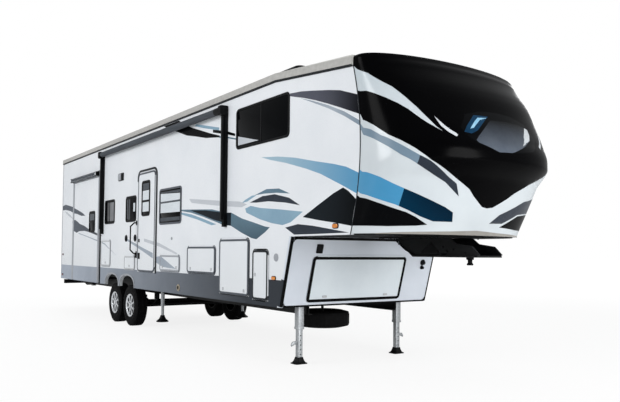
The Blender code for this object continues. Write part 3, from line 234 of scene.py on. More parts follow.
def roundedOutline(x0, z0, x1, z1, radius, steps=6):
    points = []
    for corner, (x, z) in enumerate(((x1 - radius, z1 - radius), (x0 + radius, z1 - radius),
                                     (x0 + radius, z0 + radius), (x1 - radius, z0 + radius))):
        for step in range(steps + 1):
            angle = math.pi / 2 * (corner + step / steps)
            points.append((x + radius * math.cos(angle), z + radius * math.sin(angle)))
    return points


def around(x, z, halfX, halfZ, radius, steps=6):
    return roundedOutline(x - halfX, z - halfZ, x + halfX, z + halfZ, radius, steps)


def onWall(points, side, proud):
    return [Vector((x, side * (sideY + proud), z)) for x, z in points]


def grow(bm, faces, depth, rounding=0.0, segments=2):
    # pushes flat faces out into a plate and rounds the far rim
    grown = bmesh.ops.extrude_face_region(bm, geom=faces)["geom"]
    bmesh.ops.translate(bm, verts=[item for item in grown if isinstance(item, bmesh.types.BMVert)], vec=depth)
    front = {item for item in grown if isinstance(item, bmesh.types.BMFace)}
    rim = [item for item in grown if isinstance(item, bmesh.types.BMEdge)
           and sum(face in front for face in item.link_faces) == 1]
    if rounding:
        bmesh.ops.bevel(bm, geom=rim, offset=rounding, segments=segments, profile=0.5, affect="EDGES", material=-1)


def slab(bm, points, depth, rounding=0.0, segments=2):
    grow(bm, [bm.faces.new([bm.verts.new(point) for point in points])], depth, rounding, segments)


def wallPlate(bm, side, outline, proud, thick, rounding=0.0, segments=2):
    slab(bm, onWall(outline, side, proud), Vector((0, side * thick, 0)), rounding, segments)


def ring(bm, points, width, depth, rounding=0.0, segments=2):
    face = bm.faces.new([bm.verts.new(point) for point in points])
    face.normal_update()
    band = bmesh.ops.inset_region(bm, faces=[face], thickness=width, use_boundary=True,
                                  use_even_offset=True)["faces"]
    bmesh.ops.delete(bm, geom=[face], context="FACES")
    grow(bm, band, depth, rounding, segments)


def block(bm, low, high, rounding=0.0, segments=2):
    low, high = Vector(low), Vector(high)
    made = bmesh.ops.create_cube(bm, size=1)["verts"]
    bmesh.ops.scale(bm, vec=high - low, verts=made)
    if rounding:
        edges = list({edge for vert in made for edge in vert.link_edges})
        made = bmesh.ops.bevel(bm, geom=edges, offset=rounding, segments=segments, profile=0.5, affect="EDGES",
                               material=-1)["verts"]
    bmesh.ops.translate(bm, vec=(low + high) / 2, verts=made)


def rod(bm, start, end, radius, far=None, count=20, rounding=0.0):
    start, end = Vector(start), Vector(end)
    turn = (end - start).to_track_quat("Z", "Y").to_matrix().to_4x4()
    made = bmesh.ops.create_cone(bm, cap_ends=True, segments=count, radius1=radius,
                                 radius2=radius if far is None else far, depth=(end - start).length,
                                 matrix=Matrix.Translation((start + end) / 2) @ turn)
    if rounding:
        rims = [edge for edge in {edge for vert in made["verts"] for edge in vert.link_edges}
                if any(len(face.verts) > 4 for face in edge.link_faces)]
        bmesh.ops.bevel(bm, geom=rims, offset=rounding, segments=2, profile=0.5, affect="EDGES", material=-1)


def lathe(bm, profile, centre, axis, steps=48):
    # profile points are (radius, distance along the axis)
    along = {"X": 0, "Y": 1, "Z": 2}[axis]
    out = (along + 1) % 3
    verts = []
    for radius, distance in profile:
        point = [0.0, 0.0, 0.0]
        point[out], point[along] = radius, distance
        verts.append(bm.verts.new(point))
    edges = [bm.edges.new(pair) for pair in zip(verts, verts[1:])]
    if profile[0][0] > 0 and profile[-1][0] > 0:
        edges.append(bm.edges.new((verts[-1], verts[0])))
    direction = [0.0, 0.0, 0.0]
    direction[along] = 1.0
    before = set(bm.verts) - set(verts)
    bmesh.ops.spin(bm, geom=verts + edges, cent=(0, 0, 0), axis=direction, angle=2 * math.pi, steps=steps,
                   use_merge=True)
    new = [vert for vert in bm.verts if vert not in before]
    bmesh.ops.remove_doubles(bm, verts=new, dist=0.00001)
    bmesh.ops.translate(bm, verts=[vert for vert in bm.verts if vert not in before], vec=centre)


def eased(points, radius, steps=5):
    # rounds the bends of a broken line
    points = [Vector(point) for point in points]
    line = [points[0]]
    for before, corner, after in zip(points, points[1:], points[2:]):
        start = corner + (before - corner).normalized() * radius
        end = corner + (after - corner).normalized() * radius
        for step in range(steps + 1):
            share = step / steps
            line.append(start.lerp(corner, share).lerp(corner.lerp(end, share), share))
    return line + [points[-1]]


def pipe(bm, points, radius):
    path = bpy.data.curves.new("pipePath", "CURVE")
    path.dimensions = "3D"
    path.bevel_depth = radius
    path.bevel_resolution = 3
    path.use_fill_caps = True
    spline = path.splines.new("POLY")
    spline.points.add(len(points) - 1)
    for knot, point in zip(spline.points, points):
        knot.co = (*point, 1)
    holder = bpy.data.objects.new("pipePath", path)
    bpy.context.scene.collection.objects.link(holder)
    bm.from_mesh(holder.to_mesh())
    holder.to_mesh_clear()
    bpy.data.objects.remove(holder)
    bpy.data.curves.remove(path)


def finishPiece(bm, name, body, finish, smooth=35):
    bmesh.ops.remove_doubles(bm, verts=bm.verts, dist=0.00002)
    bmesh.ops.recalc_face_normals(bm, faces=bm.faces)
    bmesh.ops.translate(bm, verts=bm.verts, vec=origin)
    mesh = bpy.data.meshes.new(name)
    bm.to_mesh(mesh)
    bm.free()
    material, slot = finishes[finish]
    mesh.materials.append(material)
    mesh.polygons.foreach_set("use_smooth", [True] * len(mesh.polygons))
    mesh.set_sharp_from_angle(angle=math.radians(smooth))
    piece = bpy.data.objects.new(name, mesh)
    bpy.context.scene.collection.objects.link(piece)
    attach(piece, body)
    return piece


# CAD nodes that stay: each gets the finish of what it is
keptNodes = {
    "laminatedFibreglass": ("side_wall_right", "side_wall_left", "rear_wall", "slide_out_right",
                            "slide_out_left", "entry_door")
    + tuple(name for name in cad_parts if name.startswith("baggage_door")),
    "roofSheet": ("roof",), "bellyBoard": ("floor", "upper_deck"), "satinSilver": ("front_lower_wall",),
    "satinPale": ("front_storage_door",), "brushedAlloy": ("roof_ladder",), "tyreRubber": ("spare_tyre",),
    "chassisEnamel": ("chassis_frame", "axle_front", "axle_rear", "rear_bumper", "pin_box"),
    "blackMoulding": ("kingpin", "awning_arm_front", "awning_arm_rear", "entry_grab_handle"),
}
for finish, nodeNames in keptNodes.items():
    for nodeName in nodeNames:
        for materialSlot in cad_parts[nodeName].material_slots:
            materialSlot.material = finishes[finish][0]
print("kept nodes finished")

# Front cap: a fine loft of the cap's own plan curves
capSet = {"foot": 1.62, "top": 3.55, "seam": 11.58, "bow": 0.16, "collar": 0.05, "fade": 3.44, "inset": 0.0022,
          "columns": 100, "rows": 66, "roundTop": 0.05,
          "wallFrom": 0.04, "wallTo": 0.94,  # shares of the skin's height between which it stands upright
          "rollEnd": 0.625, "rollIn": 0.03,  # share of the rest that the top edge rolls over, and how far in
          "crownFrom": 0.938, "crownSpan": 0.043}
# how far each layer stands off the skin, from the lowest to the highest
capLift = {"under": -0.0008, "field": 0.0014, "stripe": 0.0018, "pane": 0.0022, "tint": 0.0031, "glint": 0.0036,
           "moulding": 0.0045}
capRows = (  # height, nose x, fullness of the plan curve
    (1.62, 12.20, 2.0), (1.92, 12.37, 2.1), (2.20, 12.53, 2.25), (2.36, 12.68, 2.4), (2.48, 12.69, 2.4),
    (2.62, 12.63, 2.4), (2.90, 12.50, 2.3), (3.15, 12.37, 2.2), (3.44, 12.14, 2.05), (3.55, 12.04, 2.0))


def seamX(z):
    middle = (capSet["foot"] + capSet["top"]) / 2
    share = (min(z, capSet["fade"]) - middle) / (capSet["top"] - middle)
    return capSet["seam"] + capSet["bow"] * (1 - share * share)


def capRow(z):
    # nose x and fullness at a height, eased through the rows
    padded = (capRows[0],) + capRows + (capRows[-1],)
    for before, low, high, after in zip(padded, padded[1:], padded[2:], padded[3:]):
        if z <= high[0] or high is capRows[-1]:
            share = min(1, max(0, (z - low[0]) / (high[0] - low[0])))
            return tuple(0.5 * (2 * q + (r - p) * share + (2 * p - 5 * q + 4 * r - s) * share ** 2
                                + (3 * q - p - 3 * r + s) * share ** 3)
                         for p, q, r, s in zip(before[1:], low[1:], high[1:], after[1:]))


def capPoint(angle, z, lift=0.0, shrink=0.0):
    # angle runs from -100 at the left seam over 0 at the nose to 100 at the right seam
    nose, fullness = capRow(z)
    nose = min(nose, capRows[4][1])
    start = seamX(z) + capSet["collar"]
    half = sideY - capSet["inset"] + lift
    turn = math.radians(max(-90, min(90, angle)))
    y = math.copysign(abs(math.sin(turn)) ** (2 / fullness), turn) * half
    x = start + (nose - capSet["inset"] + lift - start) * max(0.0, math.cos(turn)) ** (2 / fullness)
    x -= max(0, abs(angle) - 90) * capSet["collar"] / 10
    seam = seamX(z)
    return Vector((seam + (x - seam) * (1 - shrink), -y * (1 - shrink), z))


def capSkin(u, v, lift=0.0):
    # the skin at a share of its width and height: upright rows, then a roll into the flat top
    angle = -100 + 200 * u
    edge, wallFrom, wallTo = capSet["roundTop"], capSet["wallFrom"], capSet["wallTo"]
    share, foot = max(0.0, (v - wallTo) / (1 - wallTo)), max(0.0, (wallFrom - v) / wallFrom)
    upright = min(1, max(0, (v - wallFrom) / (wallTo - wallFrom)))
    z = capSet["foot"] + (capSet["top"] - edge - capSet["foot"]) * upright
    rollEnd, rollIn = capSet["rollEnd"], capSet["rollIn"]
    turn = min(1, share / rollEnd) * math.pi / 2
    if share:
        z += edge * math.sin(turn)
    roll = rollIn * (1 - math.cos(turn)) + max(0, share - rollEnd) / (1 - rollEnd) * (1 - rollIn)
    return capPoint(angle, z, lift, min(1, roll) if share else foot)


def buildCap():
    bm = bmesh.new()
    bmesh.ops.create_grid(bm, x_segments=capSet["columns"], y_segments=capSet["rows"], size=0.5)
    for vert in bm.verts:
        vert.co = capSkin(vert.co.x + 0.5, vert.co.y + 0.5)
    bmesh.ops.remove_doubles(bm, verts=bm.verts, dist=0.0002)
    rim = [item for item in bm.edges if item.is_boundary]
    bmesh.ops.contextual_create(bm, geom=rim)
    cap = finishPiece(bm, "capShell", "trailer", "mouldedGelcoat", 50)
    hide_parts("front_cap")
    # the black crown rolls over the top edge
    bm = bmesh.new()
    bmesh.ops.create_grid(bm, x_segments=capSet["columns"], y_segments=14, size=0.5)
    grown = bmesh.ops.extrude_face_region(bm, geom=bm.faces[:])["geom"]
    outer = {item for item in grown if isinstance(item, bmesh.types.BMVert)}
    for vert in bm.verts:
        height = capSet["crownFrom"] + capSet["crownSpan"] * (vert.co.y + 0.5)
        spot = capSkin(vert.co.x + 0.5, height, capLift["field" if vert in outer else "under"])
        vert.co = spot + Vector((0, 0, 0.0006 if vert in outer else -0.0006))
    finishPiece(bm, "capCrown", "trailer", "blackGelcoat", 50)


def capSheet(bm, outline, lift, thickness=0.0020):
    # an outline in (angle, height) laid over the cap as a thin film, cut on the skin's own grid
    flat = bmesh.new()
    flat.faces.new([flat.verts.new((angle / 50, z, 0)) for angle, z in outline])
    flat.normal_update()
    bmesh.ops.triangulate(flat, faces=flat.faces[:])
    upright = capSet["rows"] * (capSet["wallTo"] - capSet["wallFrom"])
    rise = (capSet["top"] - capSet["roundTop"] - capSet["foot"]) / upright
    start = capSet["foot"] - capSet["wallFrom"] * capSet["rows"] * rise
    for axis, pitch, first in ((0, 4 / capSet["columns"], 0.0), (1, rise, start)):
        values = [vert.co[axis] - first for vert in flat.verts]
        normal = Vector((1 - axis, axis, 0))
        for step in range(int(min(values) / pitch) - 1, int(max(values) / pitch) + 2):
            bmesh.ops.bisect_plane(flat, geom=flat.verts[:] + flat.edges[:] + flat.faces[:], dist=0.00001,
                                   plane_co=normal * (first + step * pitch), plane_no=normal)
    bmesh.ops.remove_doubles(flat, verts=flat.verts, dist=0.0001)
    grown = bmesh.ops.extrude_face_region(flat, geom=flat.faces[:])["geom"]
    outer = {item for item in grown if isinstance(item, bmesh.types.BMVert)}
    for vert in flat.verts:
        vert.co = capPoint(vert.co.x * 50, vert.co.y, lift if vert in outer else lift - thickness)
    bmesh.ops.recalc_face_normals(flat, faces=flat.faces)
    mesh = bpy.data.meshes.new("film")
    flat.to_mesh(mesh)
    flat.free()
    bm.from_mesh(mesh)
    bpy.data.meshes.remove(mesh)


# Cap stripes: plain sweeps, in (angle, height), with a painted highlight streak and the lip's painted band among
# them. The black field is the same on both sides
upperSweep = [(100, 3.425), (97.6, 3.418), (77.7, 3.31), (68.2, 3.206), (60.8, 3.134), (53.8, 3.019), (48, 2.909),
              (44, 2.816), (41.4, 2.755), (38.9, 2.695), (35.4, 2.644)]
lowerSweep = [(43.6, 2.731), (48, 2.792), (54, 2.885), (59.9, 2.95), (68.4, 3.02), (77.3, 3.081), (83.8, 3.118),
              (100, 3.150)]
shieldEdge = [(100, 2.90), (96.1, 2.876), (81.6, 2.741), (71.5, 2.625), (62.4, 2.547), (54, 2.462), (44.9, 2.356),
              (33.8, 2.269), (25.9, 2.202), (19.5, 2.139), (15.1, 2.094), (11.1, 2.027), (6, 1.959), (3.3, 1.925)]
capTopZ = 3.50
capFilms = {
    "blackFilm": [(100, 2.034), (82.3, 1.989), (68.4, 1.933), (56.9, 1.882), (48.6, 1.847), (41.4, 1.799),
                  (32.9, 1.725), (39.7, 1.712), (58.3, 1.704), (100, 1.715)],
    "greyFilm": [(100, 2.79), (95.3, 2.768), (84.3, 2.701), (76.9, 2.626), (71.8, 2.588), (62.8, 2.503),
                 (53.2, 2.411), (51.8, 2.398), (52.2, 2.316), (53.7, 2.33), (63, 2.403), (71.8, 2.495),
                  (82.6, 2.599), (95.9, 2.707), (100, 2.73)],
    "slateFilm": [(51.8, 2.398), (44.6, 2.343), (32.6, 2.231), (23.8, 2.142), (20.1, 2.018), (30.7, 2.15),
                  (36.9, 2.201), (45.5, 2.265), (52.2, 2.316)],
    "blueFilm": [(100, 2.304), (86.7, 2.263), (73.5, 2.198), (61.4, 2.122), (54.6, 2.083), (54.9, 1.908),
                  (57.7, 1.924), (69.1, 1.969), (83, 2.026), (100, 2.08)],
    "tealFilm": [(54.6, 2.083), (45.7, 2.032), (36, 1.972), (26.1, 1.907), (20.2, 1.856),
                  (18.2, 1.760), (30.1, 1.76), (38.9, 1.807), (49.2, 1.876), (54.9, 1.908)],
    # a painted highlight streak along a crease, laid on both sides
    "whiteFilm": [(38.6, 2.812), (33.6, 2.708), (30.4, 2.66), (26.9, 2.623), (28.5, 2.597), (32.6, 2.644),
                  (36.3, 2.708)],
    # the lower lip's band: painted shade and a painted reflection of the ground
    "warmGelcoat": [(66, 1.632), (47, 1.646), (16.4, 1.662), (0, 1.678), (0, 1.626), (66, 1.626)],
}
farFilms = {  # left side, where the grey and teal stripes are drawn slate as painted shade
    "slateFilm": ([(-100, 2.73), (-82.6, 2.599), (-62, 2.45), (-71.8, 2.588), (-84.3, 2.701), (-100, 2.79)],
                  [(-54.6, 2.083), (-45, 2.060), (-30.8, 2.021), (-11.8, 1.857), (-7.1, 1.758), (-18.1, 1.766),
                   (-30.8, 1.875), (-45, 1.900), (-54.9, 1.908)]),
    "blackFilm": ([(-17.4, 1.724), (-32, 1.860), (-45, 1.885), (-56.9, 1.895), (-68.4, 1.933), (-82.3, 1.989),
                   (-100, 2.034), (-100, 1.715), (-58.3, 1.704), (-39.7, 1.706)],),
}


def buildCapFilms():
    bm = bmesh.new()
    half = [(100, capTopZ)] + upperSweep + lowerSweep + shieldEdge + [(0, 1.915)]
    capSheet(bm, half + [(-angle, z) for angle, z in reversed(half[:-1])], capLift["field"])
    finishPiece(bm, "capBlackField", "trailer", "blackGelcoat", 60)
    for finish, outline in capFilms.items():
        bm = bmesh.new()
        capSheet(bm, outline, capLift["stripe"])
        if finish in ("blueFilm", "whiteFilm", "warmGelcoat"):
            capSheet(bm, [(-angle, z) for angle, z in outline], capLift["stripe"])
        # on the left the grey and teal stripes come as slate copies: painted shade
        for farOutline in farFilms.get(finish, ()):
            capSheet(bm, farOutline, capLift["stripe"])
        finishPiece(bm, "capFilm_" + finish, "trailer", finish, 60)
    # a moulding hides each seam between cap and wall
    for name, way in (("right", 1), ("left", -1)):
        bm = bmesh.new()
        strip = [(way * 98.9, 1.62), (way * 98.9, 3.46), (way * 101.3, 3.46), (way * 101.3, 1.62)]
        capSheet(bm, strip, capLift["moulding"], 0.005)
        finishPiece(bm, "seamMoulding_" + name, "trailer", "charcoalTrim", 60)


def buildWindscreen():
    bm = bmesh.new()
    half = [(0, 2.93), (9, 2.915), (19, 2.86), (24.5, 2.70), (22, 2.62), (16, 2.53), (0, 2.475)]
    outline = half + [(-angle, z) for angle, z in reversed(half[1:-1])]
    capSheet(bm, outline, capLift["pane"])
    pane = finishPiece(bm, "windscreenPane", "trailer", "tintedGlass", 60)
    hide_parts("windscreen")
    # painted reflections on the windscreen: a sky fade, deep and pale blue sky patches at one corner and a glint at
    # the other
    for name, finish, layer, outline in (
            ("Fade", "skyFadeGlass", "tint", [
                (17.4, 2.575), (11, 2.70), (4.7, 2.826), (-3, 2.84), (-12, 2.835), (-17.8, 2.81), (-20, 2.74),
                (-16.8, 2.661), (-8.5, 2.565), (-0.3, 2.478), (5.6, 2.468), (10.8, 2.509), (16.5, 2.55)]),
            ("DeepPane", "deepGlass", "tint", [
                (23.0, 2.656), (20.4, 2.725), (13.9, 2.862), (5.4, 2.866), (9.3, 2.789), (14.6, 2.686),
                (18.8, 2.643)]),
            ("SkyPane", "skyGlass", "glint", [
                (18.9, 2.696), (14.9, 2.783), (11.9, 2.836), (6.2, 2.847), (11.1, 2.812), (13.7, 2.763),
                (16.7, 2.709)]),
            ("Glint", "clearLens", "glint", [
                (-17.5, 2.815), (-20, 2.80), (-19.5, 2.74), (-16.5, 2.662), (-8.4, 2.579), (-11.8, 2.659),
                (-12.5, 2.70)])):
        bm = bmesh.new()
        capSheet(bm, outline, capLift[layer])
        finishPiece(bm, "windscreen" + name, "trailer", finish, 60)


buildCap()
buildCapFilms()
buildWindscreen()
print("front cap built")

# Doors: the CAD leaf stays, with a moulded rim round its edge, small latches and a seal on the wall
doorSet = {"leafReach": 0.020, "proud": 0.012, "rim": 0.028, "rimFoot": 0.0015, "rimHeight": 0.0035,
           "panel": 0.009, "gap": 0.008, "seal": 0.012}
doorHinges = {"entry_door": "front", "baggage_door_right_6": "front"}
doorRims = {  # node: (rim, seal)
    "entry_door": ("slateMoulding", None),
    "baggage_door_right_1": ("paleMoulding", "greyMoulding"),
    "baggage_door_right_2": ("paleMoulding", "greyMoulding"),
    "baggage_door_right_3": ("greyMoulding", "greyMoulding"),
    "baggage_door_right_4": ("slateMoulding", "slateMoulding"),
    "baggage_door_right_5": ("slateMoulding", "charcoalTrim"),
    "baggage_door_right_6": ("charcoalTrim", "gasketRubber"),
    "baggage_door_left_1": ("slateMoulding", "charcoalTrim"),
    "baggage_door_left_2": ("greyMoulding", "greyMoulding"),
}


def doorRect(name):
    low, high = nodeBox(name)
    if doorHinges.get(name, "top") == "front":
        return low.x, low.z, high.x - doorSet["leafReach"] + 0.0003, high.z
    return low.x, low.z, high.x, high.z - doorSet["leafReach"]


def latch(bm, x, z, side, size=0.036):
    # a plate, a lock cylinder low on it and a grip across its top
    proud = doorSet["panel"]
    wallPlate(bm, side, around(x, z, size * 0.5, size * 0.62, 0.008), proud, 0.006, 0.002)
    lock = Vector((x, side * (sideY + proud + 0.005), z - size * 0.3))
    rod(bm, lock, lock + Vector((0, side * 0.004, 0)), size * 0.2, count=18, rounding=0.0015)
    y = side * (sideY + proud + 0.008)
    block(bm, (x - size * 0.36, y - 0.003, z + size * 0.02), (x + size * 0.36, y + 0.003, z + size * 0.48), 0.002)


def buildDoorTrims():
    for name, (rimFinish, sealFinish) in doorRims.items():
        side = sides["left" if "left" in name else "right"]
        x0, z0, x1, z1 = doorRect(name)
        corner = 0.09 if name == "entry_door" else 0.055
        bm = bmesh.new()
        thick = doorSet["proud"] + doorSet["rimHeight"] - doorSet["rimFoot"]
        ring(bm, onWall(roundedOutline(x0 - 0.001, z0 - 0.001, x1 + 0.001, z1 + 0.001, corner), side,
                        doorSet["rimFoot"]), doorSet["rim"], Vector((0, side * thick, 0)), 0.002)
        finishPiece(bm, name + "_rim", name, rimFinish)
        bm = bmesh.new()
        if name == "entry_door":
            latch(bm, x0 + 0.075, 1.34, side, 0.09)
            latch(bm, x0 + 0.075, 1.62, side, 0.05)
        elif name == "baggage_door_right_6":
            latch(bm, x0 + 0.065, (z0 + z1) / 2, side)
        else:
            for x in (x0 + 0.12, x1 - 0.12) if x1 - x0 > 0.6 else ((x0 + x1) / 2,):
                latch(bm, x, z0 + 0.065, side)
        finishPiece(bm, name + "_latches", name, "blackMoulding" if name == "entry_door" else "paleMoulding")
        if sealFinish:  # a seal lies on the wall round the opening
            bm = bmesh.new()
            reach = doorSet["gap"] + doorSet["seal"]
            outline = roundedOutline(x0 - reach, z0 - reach, x1 + reach, z1 + reach, corner + 0.02)
            ring(bm, onWall(outline, side, 0.0002), doorSet["seal"] - 0.0005, Vector((0, side * 0.0025, 0)), 0.001)
            finishPiece(bm, name + "_seal", "trailer", sealFinish)
    # the entry door's dark surround runs over its top and down its hinged edge
    x0, z0, x1, z1 = doorRect("entry_door")
    reach, wide = 0.026, 0.05
    bm = bmesh.new()
    bend = roundedOutline(x0 - reach, z0, x1 + reach, z1 + reach, 0.11)
    inner = [(x1 + reach, z0 - 0.02)] + bend[:14] + [(x0 - reach, z1 - 0.14)]
    bend = roundedOutline(x0 - reach - wide * 0.6, z0, x1 + reach + wide, z1 + reach + wide * 0.7, 0.15)
    outer = [(x1 + reach + wide, z0 - 0.02)] + bend[:14] + [(x0 - reach - wide * 0.6, z1 - 0.14)]
    wallPlate(bm, -1, inner + outer[::-1], 0.0003, 0.011, 0.003)
    finishPiece(bm, "entrySurround", "trailer", "charcoalTrim")


buildDoorTrims()
print("doors trimmed")

# Windows: radius-cornered black frames, tinted panes, mullions, the blinds that show behind them and painted
# reflections on the glass
windowSet = {"frame": 0.032, "bar": 0.002, "proud": 0.010, "corner": 0.067, "pane": 0.004}
windows = {  # node: (body, proud of the wall, upright bars, level bars, what shows in the pane)
    # grey strips in these panes are painted reflections; pale cloth strips are blinds behind the glass
    "window_right_1": ("trailer", 0, (3.66,), (), (
        ("duskGlass", (3.50, 2.035), (3.915, 2.035), (3.915, 2.415), (3.50, 2.415)),)),
    "window_right_2": ("trailer", 0, (4.90,), (), (
        ("shadedGlass", (4.69, 2.04), (4.74, 2.04), (4.74, 2.41), (4.69, 2.41)),
        ("shadedGlass", (4.79, 2.04), (4.84, 2.04), (4.84, 2.41), (4.79, 2.41)),
        ("blindCloth", (5.03, 2.17), (5.12, 2.17), (5.12, 2.33), (5.03, 2.33)))),
    "window_right_3": ("trailer", 0, (), (2.255,), (
        ("blindCloth", (6.355, 2.27), (7.16, 2.27), (7.16, 2.375), (6.355, 2.41)),
        ("blindCloth", (6.355, 2.08), (7.16, 2.07), (7.16, 2.24), (6.355, 2.24)),
        ("shadedGlass", (6.355, 2.42), (7.16, 2.385), (7.16, 2.435), (6.355, 2.435)),
        ("shadedGlass", (6.355, 1.935), (7.16, 1.935), (7.16, 1.995), (6.355, 1.995)))),
    "window_right_4": ("trailer", 0, (9.70,), (), (
        # the pale triangle is a painted reflection on the pane
        ("silverFilm", (9.085, 2.895), (9.64, 2.895), (9.085, 3.02)),)),
    "window_left_1": ("trailer", 0, (9.70,), (), ()),
    "window_left_2": ("trailer", 0, (3.90,), (), (
        ("blindCloth", (3.64, 2.04), (3.88, 2.04), (3.88, 2.41), (3.64, 2.41)),)),
    "slide_out_right_window": ("slide_out_right", 0.030, (), (2.06,), (
        ("shadedGlass", (2.415, 2.09), (2.725, 2.09), (2.725, 2.23), (2.415, 2.23)),)),
    "slide_out_left_window": ("slide_out_left", 0.030, (6.90,), (), (
        ("blindCloth", (6.24, 2.32), (6.88, 2.32), (6.88, 2.56), (6.24, 2.56)),)),
    "entry_door_window": ("entry_door", 0.009, (), (2.33,), (
        ("blindCloth", (5.53, 2.35), (5.83, 2.35), (5.83, 2.52), (5.53, 2.52)),
        ("blindCloth", (5.53, 2.14), (5.83, 2.14), (5.83, 2.31), (5.53, 2.31)),
        ("shadedGlass", (5.53, 2.53), (5.83, 2.53), (5.83, 2.65), (5.53, 2.65)))),
}


def buildWindows():
    for name, (body, base, uprights, levels, strips) in windows.items():
        side = sides["left" if "left" in name else "right"]
        low, high = nodeBox(name)
        outline = roundedOutline(low.x, low.z, high.x, high.z, windowSet["corner"])
        bm = bmesh.new()
        thick = windowSet["proud"] - 0.0004
        ring(bm, onWall(outline, side, base + 0.0004), windowSet["frame"], Vector((0, side * thick, 0)), 0.004, 3)
        edge = windowSet["frame"] - windowSet["bar"]  # bars and pane reach under the frame
        bars = [(x - 0.013, low.z + edge, x + 0.013, high.z - edge) for x in uprights]
        bars += [(low.x + edge, z - 0.010, high.x - edge, z + 0.010) for z in levels]
        for x0, z0, x1, z1 in bars:
            wallPlate(bm, side, [(x0, z0), (x1, z0), (x1, z1), (x0, z1)], base + 0.0004, thick * 0.85, 0.003)
        framePiece = finishPiece(bm, name + "_frame", body,
                                 "slateMoulding" if name == "window_right_3" else "blackMoulding")
        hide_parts(name)
        bm = bmesh.new()
        inner = roundedOutline(low.x + edge, low.z + edge, high.x - edge, high.z - edge, windowSet["corner"] - edge)
        wallPlate(bm, side, inner, base - 0.004, windowSet["pane"] + 0.004, 0.0008)
        finishPiece(bm, name + "_pane", body, "tintedGlass")
        for finish in sorted({strip[0] for strip in strips}):
            bm = bmesh.new()
            for which, *corners in strips:
                if which == finish:
                    wallPlate(bm, side, corners, base + windowSet["pane"] - 0.0004, 0.0010)
            finishPiece(bm, name + "_" + finish, body, finish)


buildWindows()
print("windows built")

# Films on the side walls, cut where a door or a slide-out carries its own part of them
hosts = {"right": [], "left": []}
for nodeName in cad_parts:
    if nodeName in ("slide_out_right", "slide_out_left"):
        low, high = nodeBox(nodeName)
        hosts[nodeName[10:]].append(((low.x, low.z, high.x, high.z), 0.0, nodeName, 0.030))
    elif nodeName.startswith("baggage_door") or nodeName == "entry_door":
        word = "left" if "left" in nodeName else "right"
        hosts[word].append((doorRect(nodeName), doorSet["gap"], nodeName, doorSet["panel"]))
films = {}  # (side word, body, finish, thickness): bmesh of flat faces


def layFilm(word, outlines, finish, thickness=0.0006, doors=True):
    side = sides[word]
    flat = bmesh.new()
    for outline in outlines:
        flat.faces.new([flat.verts.new((min(x, seamX(z) - 0.008), 0, z)) for x, z in outline])
    flat.normal_update()
    bmesh.ops.triangulate(flat, faces=[face for face in flat.faces if len(face.verts) > 4])
    bmesh.ops.remove_doubles(flat, verts=flat.verts, dist=0.00001)
    for (x0, z0, x1, z1), gap, body, face in hosts[word]:
        inset = doorSet["rim"] if gap else 0
        lines = [(x, (1, 0, 0)) for x in (x0 - gap, x0 + inset, x1 - inset, x1 + gap)]
        lines += [(z, (0, 0, 1)) for z in (z0 - gap, z0 + inset, z1 - inset, z1 + gap)]
        for value, normal in lines:
            bmesh.ops.bisect_plane(flat, geom=flat.verts[:] + flat.edges[:] + flat.faces[:], dist=0.00001,
                                   plane_co=Vector(normal) * value, plane_no=normal)
    for face in flat.faces:
        centre = face.calc_center_median()
        body, base = "trailer", 0.0
        for (x0, z0, x1, z1), gap, host, stand in hosts[word]:
            inset = doorSet["rim"] if gap else 0
            if x0 + inset < centre.x < x1 - inset and z0 + inset < centre.z < z1 - inset:
                body, base = (host if doors or not gap else None), stand
            elif x0 - gap < centre.x < x1 + gap and z0 - gap < centre.z < z1 + gap:
                body = None
        if body and face.calc_area() > 0.000001:
            bm = films.setdefault((word, body, finish, thickness), bmesh.new())
            points = [(vert.co.x, side * (sideY + base + 0.0001), vert.co.z) for vert in face.verts]
            made = bm.faces.new([bm.verts.new(point) for point in points])
            made.normal_update()
            if made.normal.y * side < 0:
                made.normal_flip()
    flat.free()


def archLine(centre, half, rise, foot, steps=26):
    # rounded arch, from its front foot over the top to its rear foot
    points = []
    for step in range(steps + 1):
        turn = math.pi * step / steps
        points.append((centre + math.copysign(abs(math.cos(turn)) ** 0.8, math.cos(turn)) * half,
                       foot + abs(math.sin(turn)) ** 0.8 * rise))
    return points


